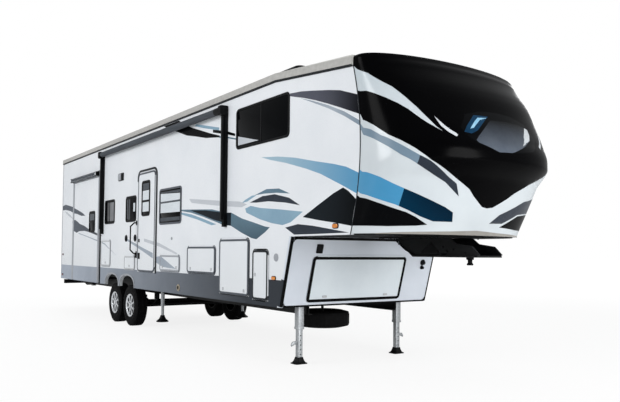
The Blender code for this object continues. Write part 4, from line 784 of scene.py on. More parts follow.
archSet = {"centres": (3.868, 4.742), "half": 0.401, "rise": 0.22, "rim": 0.034, "foot": 0.74, "band": 1.08}
sideFilms = (  # finish, lift, outline in (x, z)
    # black swoosh with a painted grey sheen, fading to black at the seam
    ("duskFilm", 0, [
        (10.38, 3.369), (10.62, 3.348), (10.849, 3.312), (11.163, 3.257), (11.385, 3.211), (11.8, 3.108),
        (11.8, 2.894), (11.387, 3.02), (11.164, 3.102), (10.931, 3.182), (10.685, 3.257), (10.381, 3.335)]),
    ("greyFilm", 0, [
        (10.6, 3.272), (10.85, 3.195), (11.164, 3.085), (11.458, 2.965), (11.8, 2.825), (11.8, 2.77),
        (11.459, 2.915), (11.165, 3.050), (10.85, 3.175)]),
    ("blueFilm", 0, [
        (9.71, 2.66), (10.12, 2.624), (10.5, 2.566), (10.91, 2.48), (11.27, 2.41), (11.5, 2.355),
        (11.8, 2.27), (11.8, 2.052), (11.48, 2.14), (11.33, 2.2), (11.03, 2.321), (10.73, 2.412),
        (10.3, 2.524), (9.94, 2.6)]),
    ("graphiteFilm", 0, [
        (10.68, 1.842), (11.0, 1.973), (11.27, 2.08), (11.45, 2.133), (11.545, 2.088), (11.8, 1.995),
        (11.8, 1.712), (11.33, 1.752), (11.03, 1.79)]),
    ("slateFilm", 0, [
        (10.30, 1.728), (10.576, 1.762), (10.88, 1.735), (11.21, 1.69), (11.56, 1.642), (11.0, 1.638),
        (10.50, 1.638)]),
    ("stormFilm", 0, [
        (8.9, 1.975), (9.21, 1.882), (9.515, 1.82), (9.82, 1.755), (9.94, 1.742), (9.82, 1.68),
        (9.606, 1.594), (9.48, 1.61), (9.21, 1.685), (8.9, 1.79)]),
    ("graphiteFilm", 0, [
        (8.70, 1.985), (8.9, 1.975), (8.9, 1.79), (8.70, 1.81)]),
    ("mistFilm", 0, [
        (9.3, 2.012), (9.45, 2.04), (9.7, 2.0), (10.2, 1.955), (10.68, 1.906), (10.42, 1.79), (10.24, 1.76),
        (10.0, 1.79), (9.7, 1.85), (9.33, 1.955)]),
    ("slateFilm", 0, [
        (9.42, 2.085), (9.75, 2.15), (10.05, 2.155), (10.38, 2.09), (10.62, 1.985), (10.3, 2.035),
        (9.9, 2.075), (9.6, 2.075)]),
    ("stormFilm", 0, [
        (9.55, 2.175), (9.85, 2.235), (10.15, 2.22), (10.4, 2.14), (10.1, 2.17), (9.8, 2.18)]),
    ("mistFilm", 0, [
        (9.2, 2.09), (9.36, 2.105), (9.6, 2.175), (9.48, 2.175), (9.3, 2.13)]),
    ("stormFilm", 0, [
        (7.22, 2.098), (7.614, 2.082), (8.306, 2.05), (8.563, 2.01), (8.70, 1.985), (8.70, 1.80),
        (8.45, 1.858), (8.0, 1.955), (7.6, 2.03), (7.22, 2.075)]),
    ("graphiteFilm", 0.0006, [
        (7.55, 2.072), (8.1, 2.045), (8.5, 2.005), (8.62, 1.985), (8.62, 1.852), (8.4, 1.888),
        (8.05, 1.965)]),
    ("mistFilm", 0, [
        (7.22, 2.052), (7.6, 2.005), (8.0, 1.925), (8.45, 1.825), (8.3, 1.815), (7.8, 1.92), (7.22, 2.02)]),
    ("silverFilm", 0, [
        (7.5, 2.255), (8.53, 2.165), (9.15, 2.115), (9.35, 2.065), (9.2, 2.035), (8.53, 2.09), (7.6, 2.185)]),
    ("blackFilm", 0, [
        (6.44, 3.570), (7.06, 3.570), (7.25, 3.48), (7.6, 3.365), (7.9, 3.28), (8.2, 3.195), (8.52, 3.115),
        (8.52, 3.09), (8.07, 3.14), (7.71, 3.215), (7.38, 3.276), (7.04, 3.38), (6.6, 3.50)]),
    ("mistFilm", 0, [
        (7.72, 3.405), (8.0, 3.345), (8.5, 3.235), (8.5, 3.195), (8.0, 3.30), (7.68, 3.38)]),
    ("blackFilm", 0, [
        (8.3, 3.235), (8.75, 3.145), (8.99, 3.075), (8.99, 3.04), (8.75, 3.10), (8.3, 3.19)]),
    ("stormFilm", 0, [
        (8.5, 3.11), (8.75, 3.065), (9.02, 3.005), (9.02, 2.985), (8.75, 3.045), (8.5, 3.085)]),
    ("slateFilm", 0, [
        (0.0, 2.535), (0.277, 2.56), (0.66, 2.508), (1.05, 2.45), (1.43, 2.373), (1.815, 2.290),
        (2.05, 2.215), (1.75, 2.222), (1.43, 2.275), (1.05, 2.315), (0.66, 2.39), (0.28, 2.43), (0.0, 2.43)]),
    ("silverFilm", 0, [
        (0.2, 2.40), (0.45, 2.36), (0.75, 2.27), (1.04, 2.16), (0.7, 2.235), (0.35, 2.335)]),
    ("slateFilm", 0, [
        (0.89, 2.12), (1.24, 2.15), (1.45, 2.10), (1.62, 2.045), (2.0, 1.985), (2.39, 1.89), (2.97, 1.796),
        (3.2, 1.735), (2.97, 1.75), (2.39, 1.835), (2.0, 1.873), (1.58, 1.873), (1.39, 1.84), (1.16, 1.89),
        (1.0, 2.0)]),
    ("greyFilm", 0, [
        (1.55, 1.838), (2.2, 1.755), (2.97, 1.655), (3.4, 1.58), (4.12, 1.33), (3.4, 1.555), (2.97, 1.63),
        (2.2, 1.735), (1.55, 1.818)]),
    ("greyFilm", 0, [
        (4.58, 1.690), (5.0, 1.60), (5.53, 1.494), (6.05, 1.395), (6.05, 1.30), (5.53, 1.435), (5.0, 1.555),
        (4.58, 1.655)]),
    ("greyFilm", 0, [
        (6.15, 1.33), (6.40, 1.345), (6.75, 1.235), (7.06, 1.14), (6.75, 1.15), (6.45, 1.17), (6.15, 1.24)]),
    ("silverFilm", 0, [
        (5.62, 1.655), (6.3, 1.57), (7.07, 1.40), (7.07, 1.37), (6.3, 1.51), (5.62, 1.60)]),
)


def skirtStrips():
    # quads from the skirt's foot, or from the arch, up to the band
    line = []
    for centre in archSet["centres"]:
        line += list(reversed(archLine(centre, archSet["half"], archSet["rise"], archSet["foot"])))
    foot, band = archSet["foot"], archSet["band"]
    line = [(0.0, foot)] + line + [(10.13, foot)]
    strips = [[(x0, z0), (x0, band), (x1, band), (x1, z1)] for (x0, z0), (x1, z1) in zip(line, line[1:])
              if x1 - x0 > 0.0001]
    return strips + [[(10.13, foot), (10.13, band), (10.225, band)]]


def buildSideFilms():
    for word in sides:
        layFilm(word, skirtStrips(), "paintedSkirt", 0.0018, doors=False)
        for finish, lift, outline in sideFilms:
            layFilm(word, [outline], finish, 0.0006 + lift)
    for (word, body, finish, thickness), bm in films.items():
        bmesh.ops.remove_doubles(bm, verts=bm.verts, dist=0.00001)
        grow(bm, bm.faces[:], Vector((0, sides[word] * thickness, 0)))
        kind = "skirt" if finish == "paintedSkirt" else "film%d_" % round(thickness * 10000) + finish
        film = finishPiece(bm, kind + "_" + word + "_" + body, body, finish)
        film.data.polygons.foreach_set("use_smooth", [False] * len(film.data.polygons))
    half, rise, rim, foot = (archSet[key] for key in ("half", "rise", "rim", "foot"))
    for word, side in sides.items():
        bm = bmesh.new()
        for centre in archSet["centres"]:
            outer = archLine(centre, half + rim, rise + rim, foot)
            wallPlate(bm, side, outer + archLine(centre, half, rise, foot)[::-1], 0.0005, 0.012, 0.004)
        finishPiece(bm, "archMouldings_" + word, "trailer", "greyMoulding")


buildSideFilms()
print("side films and skirt laid")

# Roof edges: rails, gutters and beads, with the corner mouldings of the rear wall
roofSet = {"under": 3.59, "thick": 0.10, "fall": 0.15, "bend": 10.05, "over": 0.012, "end": 11.604,
           "cornerFoot": 0.745, "cornerLength": 2.83}


def buildRoofEdges():
    low, high = roofSet["under"], roofSet["under"] + roofSet["thick"]
    line = [(-0.010, 0), (roofSet["bend"], 0), (roofSet["end"], -roofSet["fall"])]
    for word, side in sides.items():
        for name, foot, top, finish, proud, thick in (
                ("roofRail", low + 0.010, high - 0.004, "roofMoulding", roofSet["over"] + 0.0002, 0.006),
                ("roofGutter", low - 0.016, low - 0.001, "charcoalTrim", 0.0003, 0.010),
                ("roofBead", low - 0.001, low + 0.010, "charcoalTrim", roofSet["over"] + 0.0002, 0.007)):
            bm = bmesh.new()
            outline = [(x, foot + drop) for x, drop in line] + [(x, top + drop) for x, drop in reversed(line)]
            wallPlate(bm, side, outline, proud, thick, 0.002)
            finishPiece(bm, name + "_" + word, "trailer", finish)
        bm = bmesh.new()  # rear corner moulding, an angle that wraps the corner
        angle = ((-0.004, -0.03), (-0.004, 0.004), (0.03, 0.004), (0.03, 0.0005), (-0.0005, 0.0005),
                 (-0.0005, -0.03))
        slab(bm, [Vector((x, side * (sideY + y), roofSet["cornerFoot"])) for x, y in angle],
             Vector((0, 0, roofSet["cornerLength"])), 0.0012, 1)
        finishPiece(bm, "rearCorner_" + word, "trailer", "greyMoulding")


buildRoofEdges()
print("roof edges built")

# Slanted front wall: door gasket, latches, catch, corner trims and skirts, sockets
frontSet = {"corner": (-0.038, 1.2116), "trim": 0.042, "skirt": 0.040, "under": 0.0384, "half": 1.203}
frontFoot, frontTop = Vector((10.19, 0, 0.74)), Vector((10.44, 0, 1.62))
frontLean = math.atan2(frontTop.x - frontFoot.x, frontTop.z - frontFoot.z)
frontPlace = Matrix.Translation(frontFoot) @ Matrix.Rotation(frontLean, 4, "Y")


def onFront(points, proud):
    return [frontPlace @ Vector((proud, y, height)) for y, height in points]


def cornerArc(kind, steps):
    # points (proud, y) round the corner, in twelfths of its quarter turn
    proud, y = frontSet["corner"]
    turns = [math.pi / 2 * step / 12 for step in steps]
    return [(proud + frontSet[kind] * math.sin(turn), y + frontSet[kind] * math.cos(turn)) for turn in turns]


def buildFrontWall():
    out = frontPlace.to_3x3() @ Vector((1, 0, 0))
    bm = bmesh.new()
    ring(bm, onFront(roundedOutline(-0.871, 0.059, 0.701, 0.661, 0.05), 0.003), 0.037, out * 0.013, 0.003, 3)
    finishPiece(bm, "storageDoorGasket", "front_storage_door", "gasketRubber")
    bm = bmesh.new()
    for y in (-0.60, 0.43):
        slab(bm, onFront(around(y, 0.13, 0.035, 0.015, 0.008), 0.009), out * 0.010, 0.003)
    finishPiece(bm, "storageDoorLatches", "front_storage_door", "paleMoulding")
    bm = bmesh.new()
    slab(bm, onFront(roundedOutline(-0.845, 0.706, -0.755, 0.822, 0.008), 0.0003), out * 0.022, 0.006)
    finishPiece(bm, "storageDoorCatch", "trailer", "blackMoulding")
    # a trim wraps each corner, and the skirt's paint turns it lower down
    trim = cornerArc("trim", range(5, 12)) + [(0.004, 1.2116), (0.004, 1.2076), (0.0004, 1.2076), (0.0004, 1.2116)]
    trim += cornerArc("under", range(11, 4, -1))
    skirt = [(-0.062, 1.2516)] + cornerArc("skirt", range(6)) + cornerArc("under", range(5, -1, -1))
    skirt += [(-0.062, 1.2501)]
    for word, side in sides.items():
        for kind, section, share, finish in (("Trim_", trim, 0.985, "gasketRubber"),
                                             ("Skirt_", skirt, 0.38, "paintedSkirt")):
            bm = bmesh.new()
            foot = [frontPlace @ Vector((proud, side * y, 0.006)) for proud, y in section]
            slab(bm, foot, (frontTop - frontFoot) * share)
            finishPiece(bm, "frontCorner" + kind + word, "trailer", finish)
    bm = bmesh.new()
    half = frontSet["half"]
    for low, high in ((0.0, 0.022), (0.878, 0.912)):
        slab(bm, onFront([(-half, low), (half, low), (half, high), (-half, high)], 0.0003), out * 0.005, 0.002)
    for side in (-1, 1):  # the corners between them are eased
        for low, high, way in ((0.022, 0.062, 1), (0.878, 0.838, -1)):
            slab(bm, onFront([(side * half, low), (side * 1.163, low), (side * 1.190, low + way * 0.012),
                              (side * half, high)], 0.0003), out * 0.005)
    finishPiece(bm, "frontWallTrims", "trailer", "gasketRubber")
    bm = bmesh.new()
    for y, z, size in ((1.03, 1.30, 0.032), (1.03, 1.23, 0.022)):
        foot = frontPlace @ Vector((0.0003, y, (z - frontFoot.z) / math.cos(frontLean)))
        rod(bm, foot, foot + out * 0.012, size * 1.3, rounding=0.003, count=28)
        rod(bm, foot + out * 0.012, foot + out * 0.04, size, size * 0.8, rounding=0.004, count=28)
    finishPiece(bm, "frontWallSockets", "trailer", "blackMoulding")


buildFrontWall()
print("front wall dressed")

# Wheels: treaded tyres, cast wheels with painted pockets
wheelSet = {"radius": 0.391, "rim": 0.2035, "width": 0.235, "steps": 72, "blocks": 60, "spokes": 8, "nuts": 6}
treadRows = (  # across from, across to, turn in blocks, depth under the tread's top
    (0.070, 0.092, 0.0, 0.0035), (0.038, 0.064, 0.5, 0.0004), (-0.028, 0.028, 0.0, 0.0004),
    (-0.064, -0.038, 0.5, 0.0004), (-0.092, -0.070, 0.0, 0.0035))


def tyreProfile():
    # (radius, distance along the axle): the sidewall, then half of the tread with its grooves, and mirrored
    half = wheelSet["width"] / 2
    base, top = wheelSet["rim"] + 0.0003, wheelSet["radius"]
    side = [(base + rise, half - dent) for rise, dent in (
        (0, 0.022), (0.010, 0.018), (0.018, 0.0165), (0.022, 0.014), (0.05, 0.0065), (0.055, 0.0075),
        (0.085, 0.001), (0.095, 0), (0.115, 0.001), (0.118, 0.003), (0.145, 0.008))]
    side += [(top - 0.026, half - 0.016), (top - 0.014, half - 0.024), (top - 0.0085, half - 0.034)]
    for y in (half - 0.052, half - 0.086):
        side += [(top - 0.008, y + 0.005), (top - 0.014, y + 0.003), (top - 0.014, y - 0.003),
                 (top - 0.008, y - 0.005)]
    return side + [(radius, -along) for radius, along in reversed(side)]


def buildTyre(name, body, centre, replaced):
    bm = bmesh.new()
    lathe(bm, tyreProfile(), (0, 0, 0), "Y", wheelSet["steps"])
    for low, high, skew, sunk in treadRows:
        for step in range(wheelSet["blocks"]):
            turn = 2 * math.pi * (step + skew) / wheelSet["blocks"]
            made = bmesh.ops.create_cube(bm, size=1)["verts"]
            bmesh.ops.scale(bm, vec=(0.010, high - low, 0.031), verts=made)
            bmesh.ops.translate(bm, vec=(wheelSet["radius"] - sunk - 0.005, (low + high) / 2, 0), verts=made)
            bmesh.ops.rotate(bm, cent=(0, 0, 0), matrix=Matrix.Rotation(turn, 3, "Y"), verts=made)
    bmesh.ops.translate(bm, vec=centre, verts=bm.verts)
    piece = finishPiece(bm, name, body, "tyreRubber", 28)
    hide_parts(replaced)


def buildWheel(end, word):
    side, name = sides[word], end + "_" + word
    body = "wheel_" + name
    low, high = nodeBox("tyre_" + name)
    centre = (low + high) / 2
    buildTyre("tyreTread_" + name, body, centre, "tyre_" + name)
    half, rim = wheelSet["width"] / 2, wheelSet["rim"]

    def turned(bm, profile):
        lathe(bm, [(radius, side * along) for radius, along in profile], centre, "Y", wheelSet["steps"])

    # barrel and dish, painted dark
    bm = bmesh.new()
    turned(bm, [(0.03, half - 0.052), (0.120, half - 0.060), (rim - 0.022, half - 0.052),
                (rim - 0.014, -half + 0.022), (rim - 0.001, -half + 0.022), (rim - 0.001, half - 0.022),
                (rim - 0.010, half - 0.030), (0.03, half - 0.034)])
    finishPiece(bm, "wheelBarrel_" + name, body, "wheelPocketPaint")
    # bright rim lip, hub and spokes
    bm = bmesh.new()
    turned(bm, [(rim - 0.020, half - 0.034), (rim - 0.020, half - 0.024), (rim - 0.010, half - 0.014),
                (rim + 0.004, half - 0.010), (rim + 0.012, half - 0.0085), (rim + 0.012, half - 0.015),
                (rim, half - 0.0195), (rim - 0.004, half - 0.034)])
    turned(bm, [(0, half - 0.032), (0.078, half - 0.032), (0.078, half - 0.020), (0.068, half - 0.014),
                (0.050, half - 0.015), (0.046, half - 0.020), (0.042, half - 0.020), (0.040, half - 0.006),
                (0.030, half - 0.0022), (0, half - 0.002)])
    edge = [(0.066, 0.019), (0.120, 0.0125), (0.165, 0.017), (rim - 0.014, 0.034)]
    for spoke in range(wheelSet["spokes"]):
        turn = 2 * math.pi * (spoke + 0.5) / wheelSet["spokes"]
        points = []
        for radius, wide in [(radius, -wide) for radius, wide in edge] + edge[::-1]:
            points.append(centre + Vector((radius * math.cos(turn) - wide * math.sin(turn), side * (half - 0.036),
                                           radius * math.sin(turn) + wide * math.cos(turn))))
        slab(bm, points, Vector((0, side * 0.018, 0)), 0.004)
    finishPiece(bm, "wheelSpokes_" + name, body, "castAlloy")
    bm = bmesh.new()
    for nut in range(wheelSet["nuts"]):
        turn = 2 * math.pi * nut / wheelSet["nuts"]
        spot = centre + Vector((0.057 * math.cos(turn), 0, 0.057 * math.sin(turn)))
        rod(bm, spot + Vector((0, side * (half - 0.018), 0)), spot + Vector((0, side * (half - 0.0045), 0)), 0.0095,
            count=6, rounding=0.0015)
    piece = finishPiece(bm, "wheelNuts_" + name, body, "zincPlate")
    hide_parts("rim_" + name)


for end in ("rear", "front"):
    for word in sides:
        buildWheel(end, word)
print("wheels built")

# Landing jacks and stabilisers
jackSet = {"tube": 0.09, "leg": 0.07, "holes": 5}


def levelOutline(x, y, z, halfX, halfY, corner, steps):
    return [Vector((px, py, z)) for px, py in around(x, y, halfX, halfY, corner, steps)]


def buildJack(word):
    side = sides[word]
    node = "landing_jack_" + word
    low, high = nodeBox(node)
    x, y, top = (low.x + high.x) / 2, (low.y + high.y) / 2, high.z
    tube, leg = jackSet["tube"] / 2, jackSet["leg"] / 2
    bm = bmesh.new()
    for half, z0, z1 in ((tube, 0.44, top), (tube + 0.004, 0.44, 0.47), (leg, 0.05, 0.60)):
        slab(bm, levelOutline(x, y, z0, half, half, 0.010, 3), Vector((0, 0, z1 - z0)), 0.002)
    rod(bm, (x, y - 0.040, 0.50), (x, y + 0.040, 0.50), 0.012, count=16)
    paddle = [(0.03, 0.250), (0.075, 0.244), (0.118, 0.224), (0.124, 0.246), (0.104, 0.282), (0.03, 0.292)]
    slab(bm, [Vector((x - 0.010, y + side * across, z)) for across, z in paddle], Vector((0.020, 0, 0)), 0.003)
    legPiece = finishPiece(bm, "jackLeg_" + word, "trailer", "zincPlate")
    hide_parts(node)
    # pin holes drawn as dark discs, painted shade standing in for the holes, over a foot plate with a flared socket
    bm = bmesh.new()
    for index in range(jackSet["holes"]):
        z = 0.12 + index * 0.06
        for way in (-1, 1):
            rod(bm, (x + way * (leg - 0.002), y, z), (x + way * (leg + 0.0006), y, z), 0.009, count=14)
    slab(bm, levelOutline(x, y, 0.0, 0.078, 0.092, 0.03, 4), Vector((0, 0, 0.012)), 0.003)
    rings = [[bm.verts.new(point) for point in levelOutline(x, y, z, wide, deep, 0.03, 4)] for deep, wide, z in (
        (0.084, 0.070, 0.011), (0.068, 0.062, 0.026), (0.055, 0.054, 0.050), (0.046, 0.046, 0.085))]
    for lower, upper in zip(rings, rings[1:]):
        for index in range(len(lower)):
            bm.faces.new((lower[index - 1], lower[index], upper[index], upper[index - 1]))
    bm.faces.new(rings[0][::-1])
    bm.faces.new(rings[-1])
    finishPiece(bm, "jackFoot_" + word, "trailer", "chassisEnamel")


def buildStabiliser(word):
    # silver tube and ram over a black conical foot
    low, high = nodeBox("stabiliser_" + word)
    x, y = (low.x + high.x) / 2, (low.y + high.y) / 2
    foot, wide = low.z, (high.x - low.x) / 2
    bm = bmesh.new()
    lathe(bm, [(0, high.z - foot), (0.035, high.z - foot), (0.035, 0.32), (0.037, 0.318), (0.037, 0.292),
               (0.033, 0.288), (0.026, 0.288), (0.026, 0.112), (0, 0.112)], (x, y, foot), "Z", 32)
    tube = finishPiece(bm, "stabiliserTube_" + word, "trailer", "zincPlate")
    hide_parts("stabiliser_" + word)
    bm = bmesh.new()
    lathe(bm, [(0, 0), (wide - 0.004, 0), (wide, 0.004), (wide, 0.014), (wide - 0.012, 0.026), (0.066, 0.052),
               (0.047, 0.088), (0.038, 0.118), (0.034, 0.122), (0, 0.122)], (x, y, foot), "Z", 32)
    finishPiece(bm, "stabiliserFoot_" + word, "trailer", "chassisEnamel")


for word in sides:
    buildJack(word)
    buildStabiliser(word)
print("jacks built")

# Awning: rolled cloth in a slotted tube, between two arms
awningSet = {"rear": 3.24, "front": 8.74, "z": 3.44, "reach": 0.075, "radius": 0.055, "arm": 0.075}


def buildAwning():
    y, z = -sideY - awningSet["reach"], awningSet["z"]
    inward = awningSet["arm"] / 2 + 0.001
    start, end = awningSet["rear"] + inward, awningSet["front"] - inward
    bm = bmesh.new()
    profile = [(0, start), (0.030, start)]
    count = 40
    for step in range(count + 1):  # the rolled cloth bellies slightly between its ends
        share = step / count
        profile.append((awningSet["radius"] - 0.0040 + 0.0030 * math.sin(math.pi * share)
                        + 0.0006 * math.sin(share * 61), start + 0.035 + (end - start - 0.07) * share))
    profile += [(0.030, end), (0, end)]
    lathe(bm, profile, (0, y, z), "X", 32)
    roll = finishPiece(bm, "awningRoll", "trailer", "awningCloth")
    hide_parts("awning_roller")
    bm = bmesh.new()
    for x, long in ((start, 0.05), (end - 0.16, 0.16)):
        lathe(bm, [(0, x), (0.050, x), (0.0548, x + 0.006), (0.0548, x + long - 0.006), (0.050, x + long),
                   (0, x + long)], (0, y, z), "X", 32)
    finishPiece(bm, "awningRollCaps", "trailer", "blackMoulding")
    bm = bmesh.new()
    for x in (awningSet["rear"], awningSet["front"]):
        wall = -sideY - 0.0003
        for offset in (-0.024, 0.024):  # ribs of the arm channel
            x0, x1 = x + offset - 0.004, x + offset + 0.004
            block(bm, (x0, wall - 0.050, 1.80), (x1, wall - 0.044, 3.36), 0.001, 1)
        block(bm, (x - 0.045, wall - 0.020, 1.785), (x + 0.045, wall, 1.93), 0.006)
        rod(bm, (x - 0.05, wall - 0.045, 2.55), (x + 0.05, wall - 0.045, 2.55), 0.010, count=16, rounding=0.002)
        rod(bm, (x, wall - 0.050, 2.05), (x, wall - 0.072, 2.05), 0.022, 0.018, rounding=0.003)
    finishPiece(bm, "awningArmFittings", "trailer", "blackMoulding")


buildAwning()
print("awning built")

# Slide-outs: flange strips, seals on the wall and the rolled topper with its brackets
slideSet = {"slide_out_right": (1.05, 3.05), "slide_out_left": (5.30, 8.55)}


def buildSlideTrims():
    for body, (x0, x1) in slideSet.items():
        side = sides[body[10:]]
        for name, rider, finish, proud, thick, rounding, strips in (
                ("_flanges", body, "greyMoulding", 0.0302, 0.006, 0.002, (
                    (x0 + 0.004, 0.76, x0 + 0.115, 3.11), (x1 - 0.075, 0.76, x1 - 0.004, 3.11),
                    (x0 + 0.115, 3.00, x1 - 0.075, 3.02))),
                ("_seals", "trailer", "gasketRubber", 0.0003, 0.014, 0.004, (  # bulb seals round the flange
                    (x0 - 0.030, 0.742, x0 - 0.006, 3.15), (x1 + 0.006, 0.742, x1 + 0.058, 3.15),
                    (x0 - 0.030, 3.126, x1 + 0.058, 3.15)))):
            bm = bmesh.new()
            for left, low, right, high in strips:
                corners = [(left, low), (right, low), (right, high), (left, high)]
                wallPlate(bm, side, corners, proud, thick, rounding)
            finishPiece(bm, body + name, rider, finish)
        bm = bmesh.new()
        y = side * (sideY + 0.070)
        lathe(bm, [(0.0497, x0 + 0.09), (0.0500, x0 + 0.091), (0.0500, x1 - 0.091), (0.0497, x1 - 0.09)],
              (0, y, 3.07), "X", 28)
        finishPiece(bm, body + "_topper", body, "awningCloth")
        bm = bmesh.new()
        for x in (x0 + 0.05, x1 - 0.05):
            block(bm, (x - 0.035, y - 0.042, 3.022), (x + 0.035, y + 0.042, 3.1185), 0.012)
        finishPiece(bm, body + "_topperBrackets", body, "blackMoulding")


buildSlideTrims()
print("slide-outs trimmed")

# Small fittings of the walls
fittingSet = {  # kind: (side, x, z, size) rows
    "speaker": (("right", 4.67, 1.67, 0.065), ("right", 5.15, 1.67, 0.065)),
    "porchLight": (("right", 4.32, 2.885, 0.075), ("left", 4.90, 2.89, 0.075)),
    "amber": (("right", 10.05, 1.10, 0.028), ("left", 10.05, 1.10, 0.028), ("right", 11.32, 1.72, 0.030),
              ("left", 11.32, 1.72, 0.030)),
    "red": (("right", 0.15, 0.84, 0.026), ("right", 0.15, 1.335, 0.022), ("left", 0.15, 0.84, 0.026),
            ("left", 0.15, 1.335, 0.022)),
    "roundVent": (("right", 7.15, 0.845, 0.055), ("left", 7.15, 0.845, 0.055)),
    "hatch": (("right", 5.20, 1.35, 0.05), ("left", 2.20, 1.30, 0.075), ("left", 2.60, 1.30, 0.06),
              ("left", 9.75, 2.10, 0.09)),
    "button": (("right", 6.85, 1.64, 0.025), ("right", 10.10, 1.36, 0.05), ("left", 1.75, 1.30, 0.045)),
}


def buildFittings():
    black, grille, light, amber, red, beige, grey = (bmesh.new() for _ in range(7))

    def turned(bm, word, x, z, base, profile, steps=36):
        # profile points are (radius, height over the wall)
        side = sides[word]
        lathe(bm, [(radius, side * height) for radius, height in profile], (x, side * (sideY + base), z), "Y",
              steps)

    for word, x, z, size in fittingSet["speaker"]:
        turned(black, word, x, z, 0.0003, [(0, 0.004), (size * 0.84, 0.004), (size * 0.86, 0.013), (size, 0.009),
                                           (size, 0), (0, 0)])
        for spot in range(5):
            radius = size * (0.14 + 0.15 * spot)
            turned(grille, word, x, z, 0.0003, [(radius, 0.004), (radius, 0.009), (radius + 0.003, 0.009),
                                                (radius + 0.003, 0.004)])
    for word, x, z, size in fittingSet["porchLight"]:
        wallPlate(black, sides[word], around(x, z, size * 1.9, size, 0.02), 0.0003, 0.016, 0.005)
        lens = roundedOutline(x - size * 1.75, z - size * 0.85, x + size * 0.4, z + size * 0.85, 0.02)
        wallPlate(light, sides[word], lens, 0.014, 0.016, 0.008, 4)
    for kind, lenses in (("amber", amber), ("red", red)):
        for word, x, z, size in fittingSet[kind]:
            wallPlate(black, sides[word], around(x, z, size * 1.9, size, size * 0.9), 0.002, 0.006, 0.002)
            lens = around(x, z, size * 1.6, size * 0.75, size * 0.7)
            wallPlate(lenses, sides[word], lens, 0.007, 0.010, 0.006, 4)
    for word, x, z, size in fittingSet["roundVent"]:
        turned(beige, word, x, z, 0.002, [(size * 0.6, 0), (size, 0), (size, 0.007), (size * 0.9, 0.012),
                                          (size * 0.6, 0.012)])
        turned(black, word, x, z, 0.002, [(0, 0.001), (size * 0.62, 0.001), (size * 0.62, 0.007), (0, 0.004)])
    for word, x, z, size in fittingSet["hatch"]:
        side = sides[word]
        wallPlate(black, side, around(x, z, size, size, 0.012), 0.0003, 0.010, 0.003)
        wallPlate(black, side, around(x, z, size * 0.78, size * 0.78, 0.01), 0.0095, 0.006, 0.003)
        rod(black, (x, side * (sideY + 0.015), z - size * 0.5), (x, side * (sideY + 0.019), z - size * 0.5), 0.008)
    for word, x, z, size in fittingSet["button"]:
        turned(grey, word, x, z, 0.0003, [(0, 0.012), (size * 0.7, 0.012), (size * 0.78, 0.008), (size, 0.006),
                                          (size, 0), (0, 0)], 32)
    for bm, name, finish in ((black, "wallFittings", "blackMoulding"), (grille, "speakerGrilles", "charcoalTrim"),
                             (light, "porchLenses", "greyMoulding"), (amber, "markerLenses", "amberLens"),
                             (red, "rearSideLenses", "redLens"),
                             (beige, "ventRings", "beigeMoulding"), (grey, "wallCaps", "greyMoulding")):
        finishPiece(bm, name, "trailer", finish)


buildFittings()
print("wall fittings built")

# Waste outlet under the right rear, hung from the floor
wasteSet = {"y": -0.98, "z": 0.685, "floor": 0.8995, "pipe": 0.045, "cap": 0.056, "drop": 0.040}


def buildWaste():
    y, z, top = wasteSet["y"], wasteSet["z"], wasteSet["floor"]
    bm = bmesh.new()
    rod(bm, (1.34, y, z), (1.84, y, z), wasteSet["pipe"], count=28, rounding=0.004)
    rod(bm, (1.30, y, z), (1.345, y, z), wasteSet["cap"], count=28, rounding=0.006)
    rod(bm, (1.66, y, z), (1.66, y, top), wasteSet["drop"], count=28)
    for x in (1.42, 1.80):  # straps: two sides and a bottom
        for y0, z0, y1, z1 in ((-0.050, z - 0.050, -0.044, top), (0.044, z - 0.050, 0.050, top),
                               (-0.050, z - 0.055, 0.050, z - 0.0455)):
            block(bm, (x - 0.012, y + y0, z0), (x + 0.012, y + y1, z1), 0.001, 1)
    finishPiece(bm, "wasteOutlet", "trailer", "blackMoulding")


buildWaste()
print("waste outlet hung")

# Pin box details: bolts, grease points, a clipped harness
pinSet = {"top": 1.6197, "cheek": 0.1895, "harnessY": -0.205}


def buildPinBox():
    bm = bmesh.new()
    for x in (11.06, 11.20, 11.34, 11.70, 11.84, 11.96):
        for y in (-0.33, 0.33, -0.24, 0.24):
            rod(bm, (x, y, pinSet["top"] - 0.031), (x, y, pinSet["top"] - 0.0185), 0.012, count=6, rounding=0.001)
    for side in (-1, 1):
        for x, z in ((11.90, 1.50), (11.96, 1.45), (12.05, 1.47), (12.22, 1.43), (11.45, 1.42), (11.36, 1.46)):
            start = Vector((x, side * pinSet["cheek"], z))
            rod(bm, start, start + Vector((0, side * 0.0135, 0)), 0.013, count=6, rounding=0.001)
    finishPiece(bm, "pinBoxBolts", "trailer", "chassisEnamel")
    bm = bmesh.new()
    bends = ((11.12, 1.600), (11.30, 1.475), (11.46, 1.405), (11.75, 1.405), (11.95, 1.420))
    pipe(bm, eased([(x, pinSet["harnessY"], z) for x, z in bends], 0.04), 0.008)
    for x, z in ((11.21, 1.538), (11.42, 1.423), (11.62, 1.405), (11.90, 1.415)):
        block(bm, (x - 0.010, -0.216, z - 0.011), (x + 0.010, -pinSet["cheek"], z + 0.011), 0.003)
    finishPiece(bm, "pinBoxHarness", "trailer", "gasketRubber")


buildPinBox()
print("pin box dressed")

# Rear wall: lamps, marker lights, a blank plate bracket
rearSet = {"lampY": 1.02, "lampZ": 1.16, "markersZ": 3.50}


def onRear(points, proud):
    return [Vector((-proud, y, z)) for y, z in points]


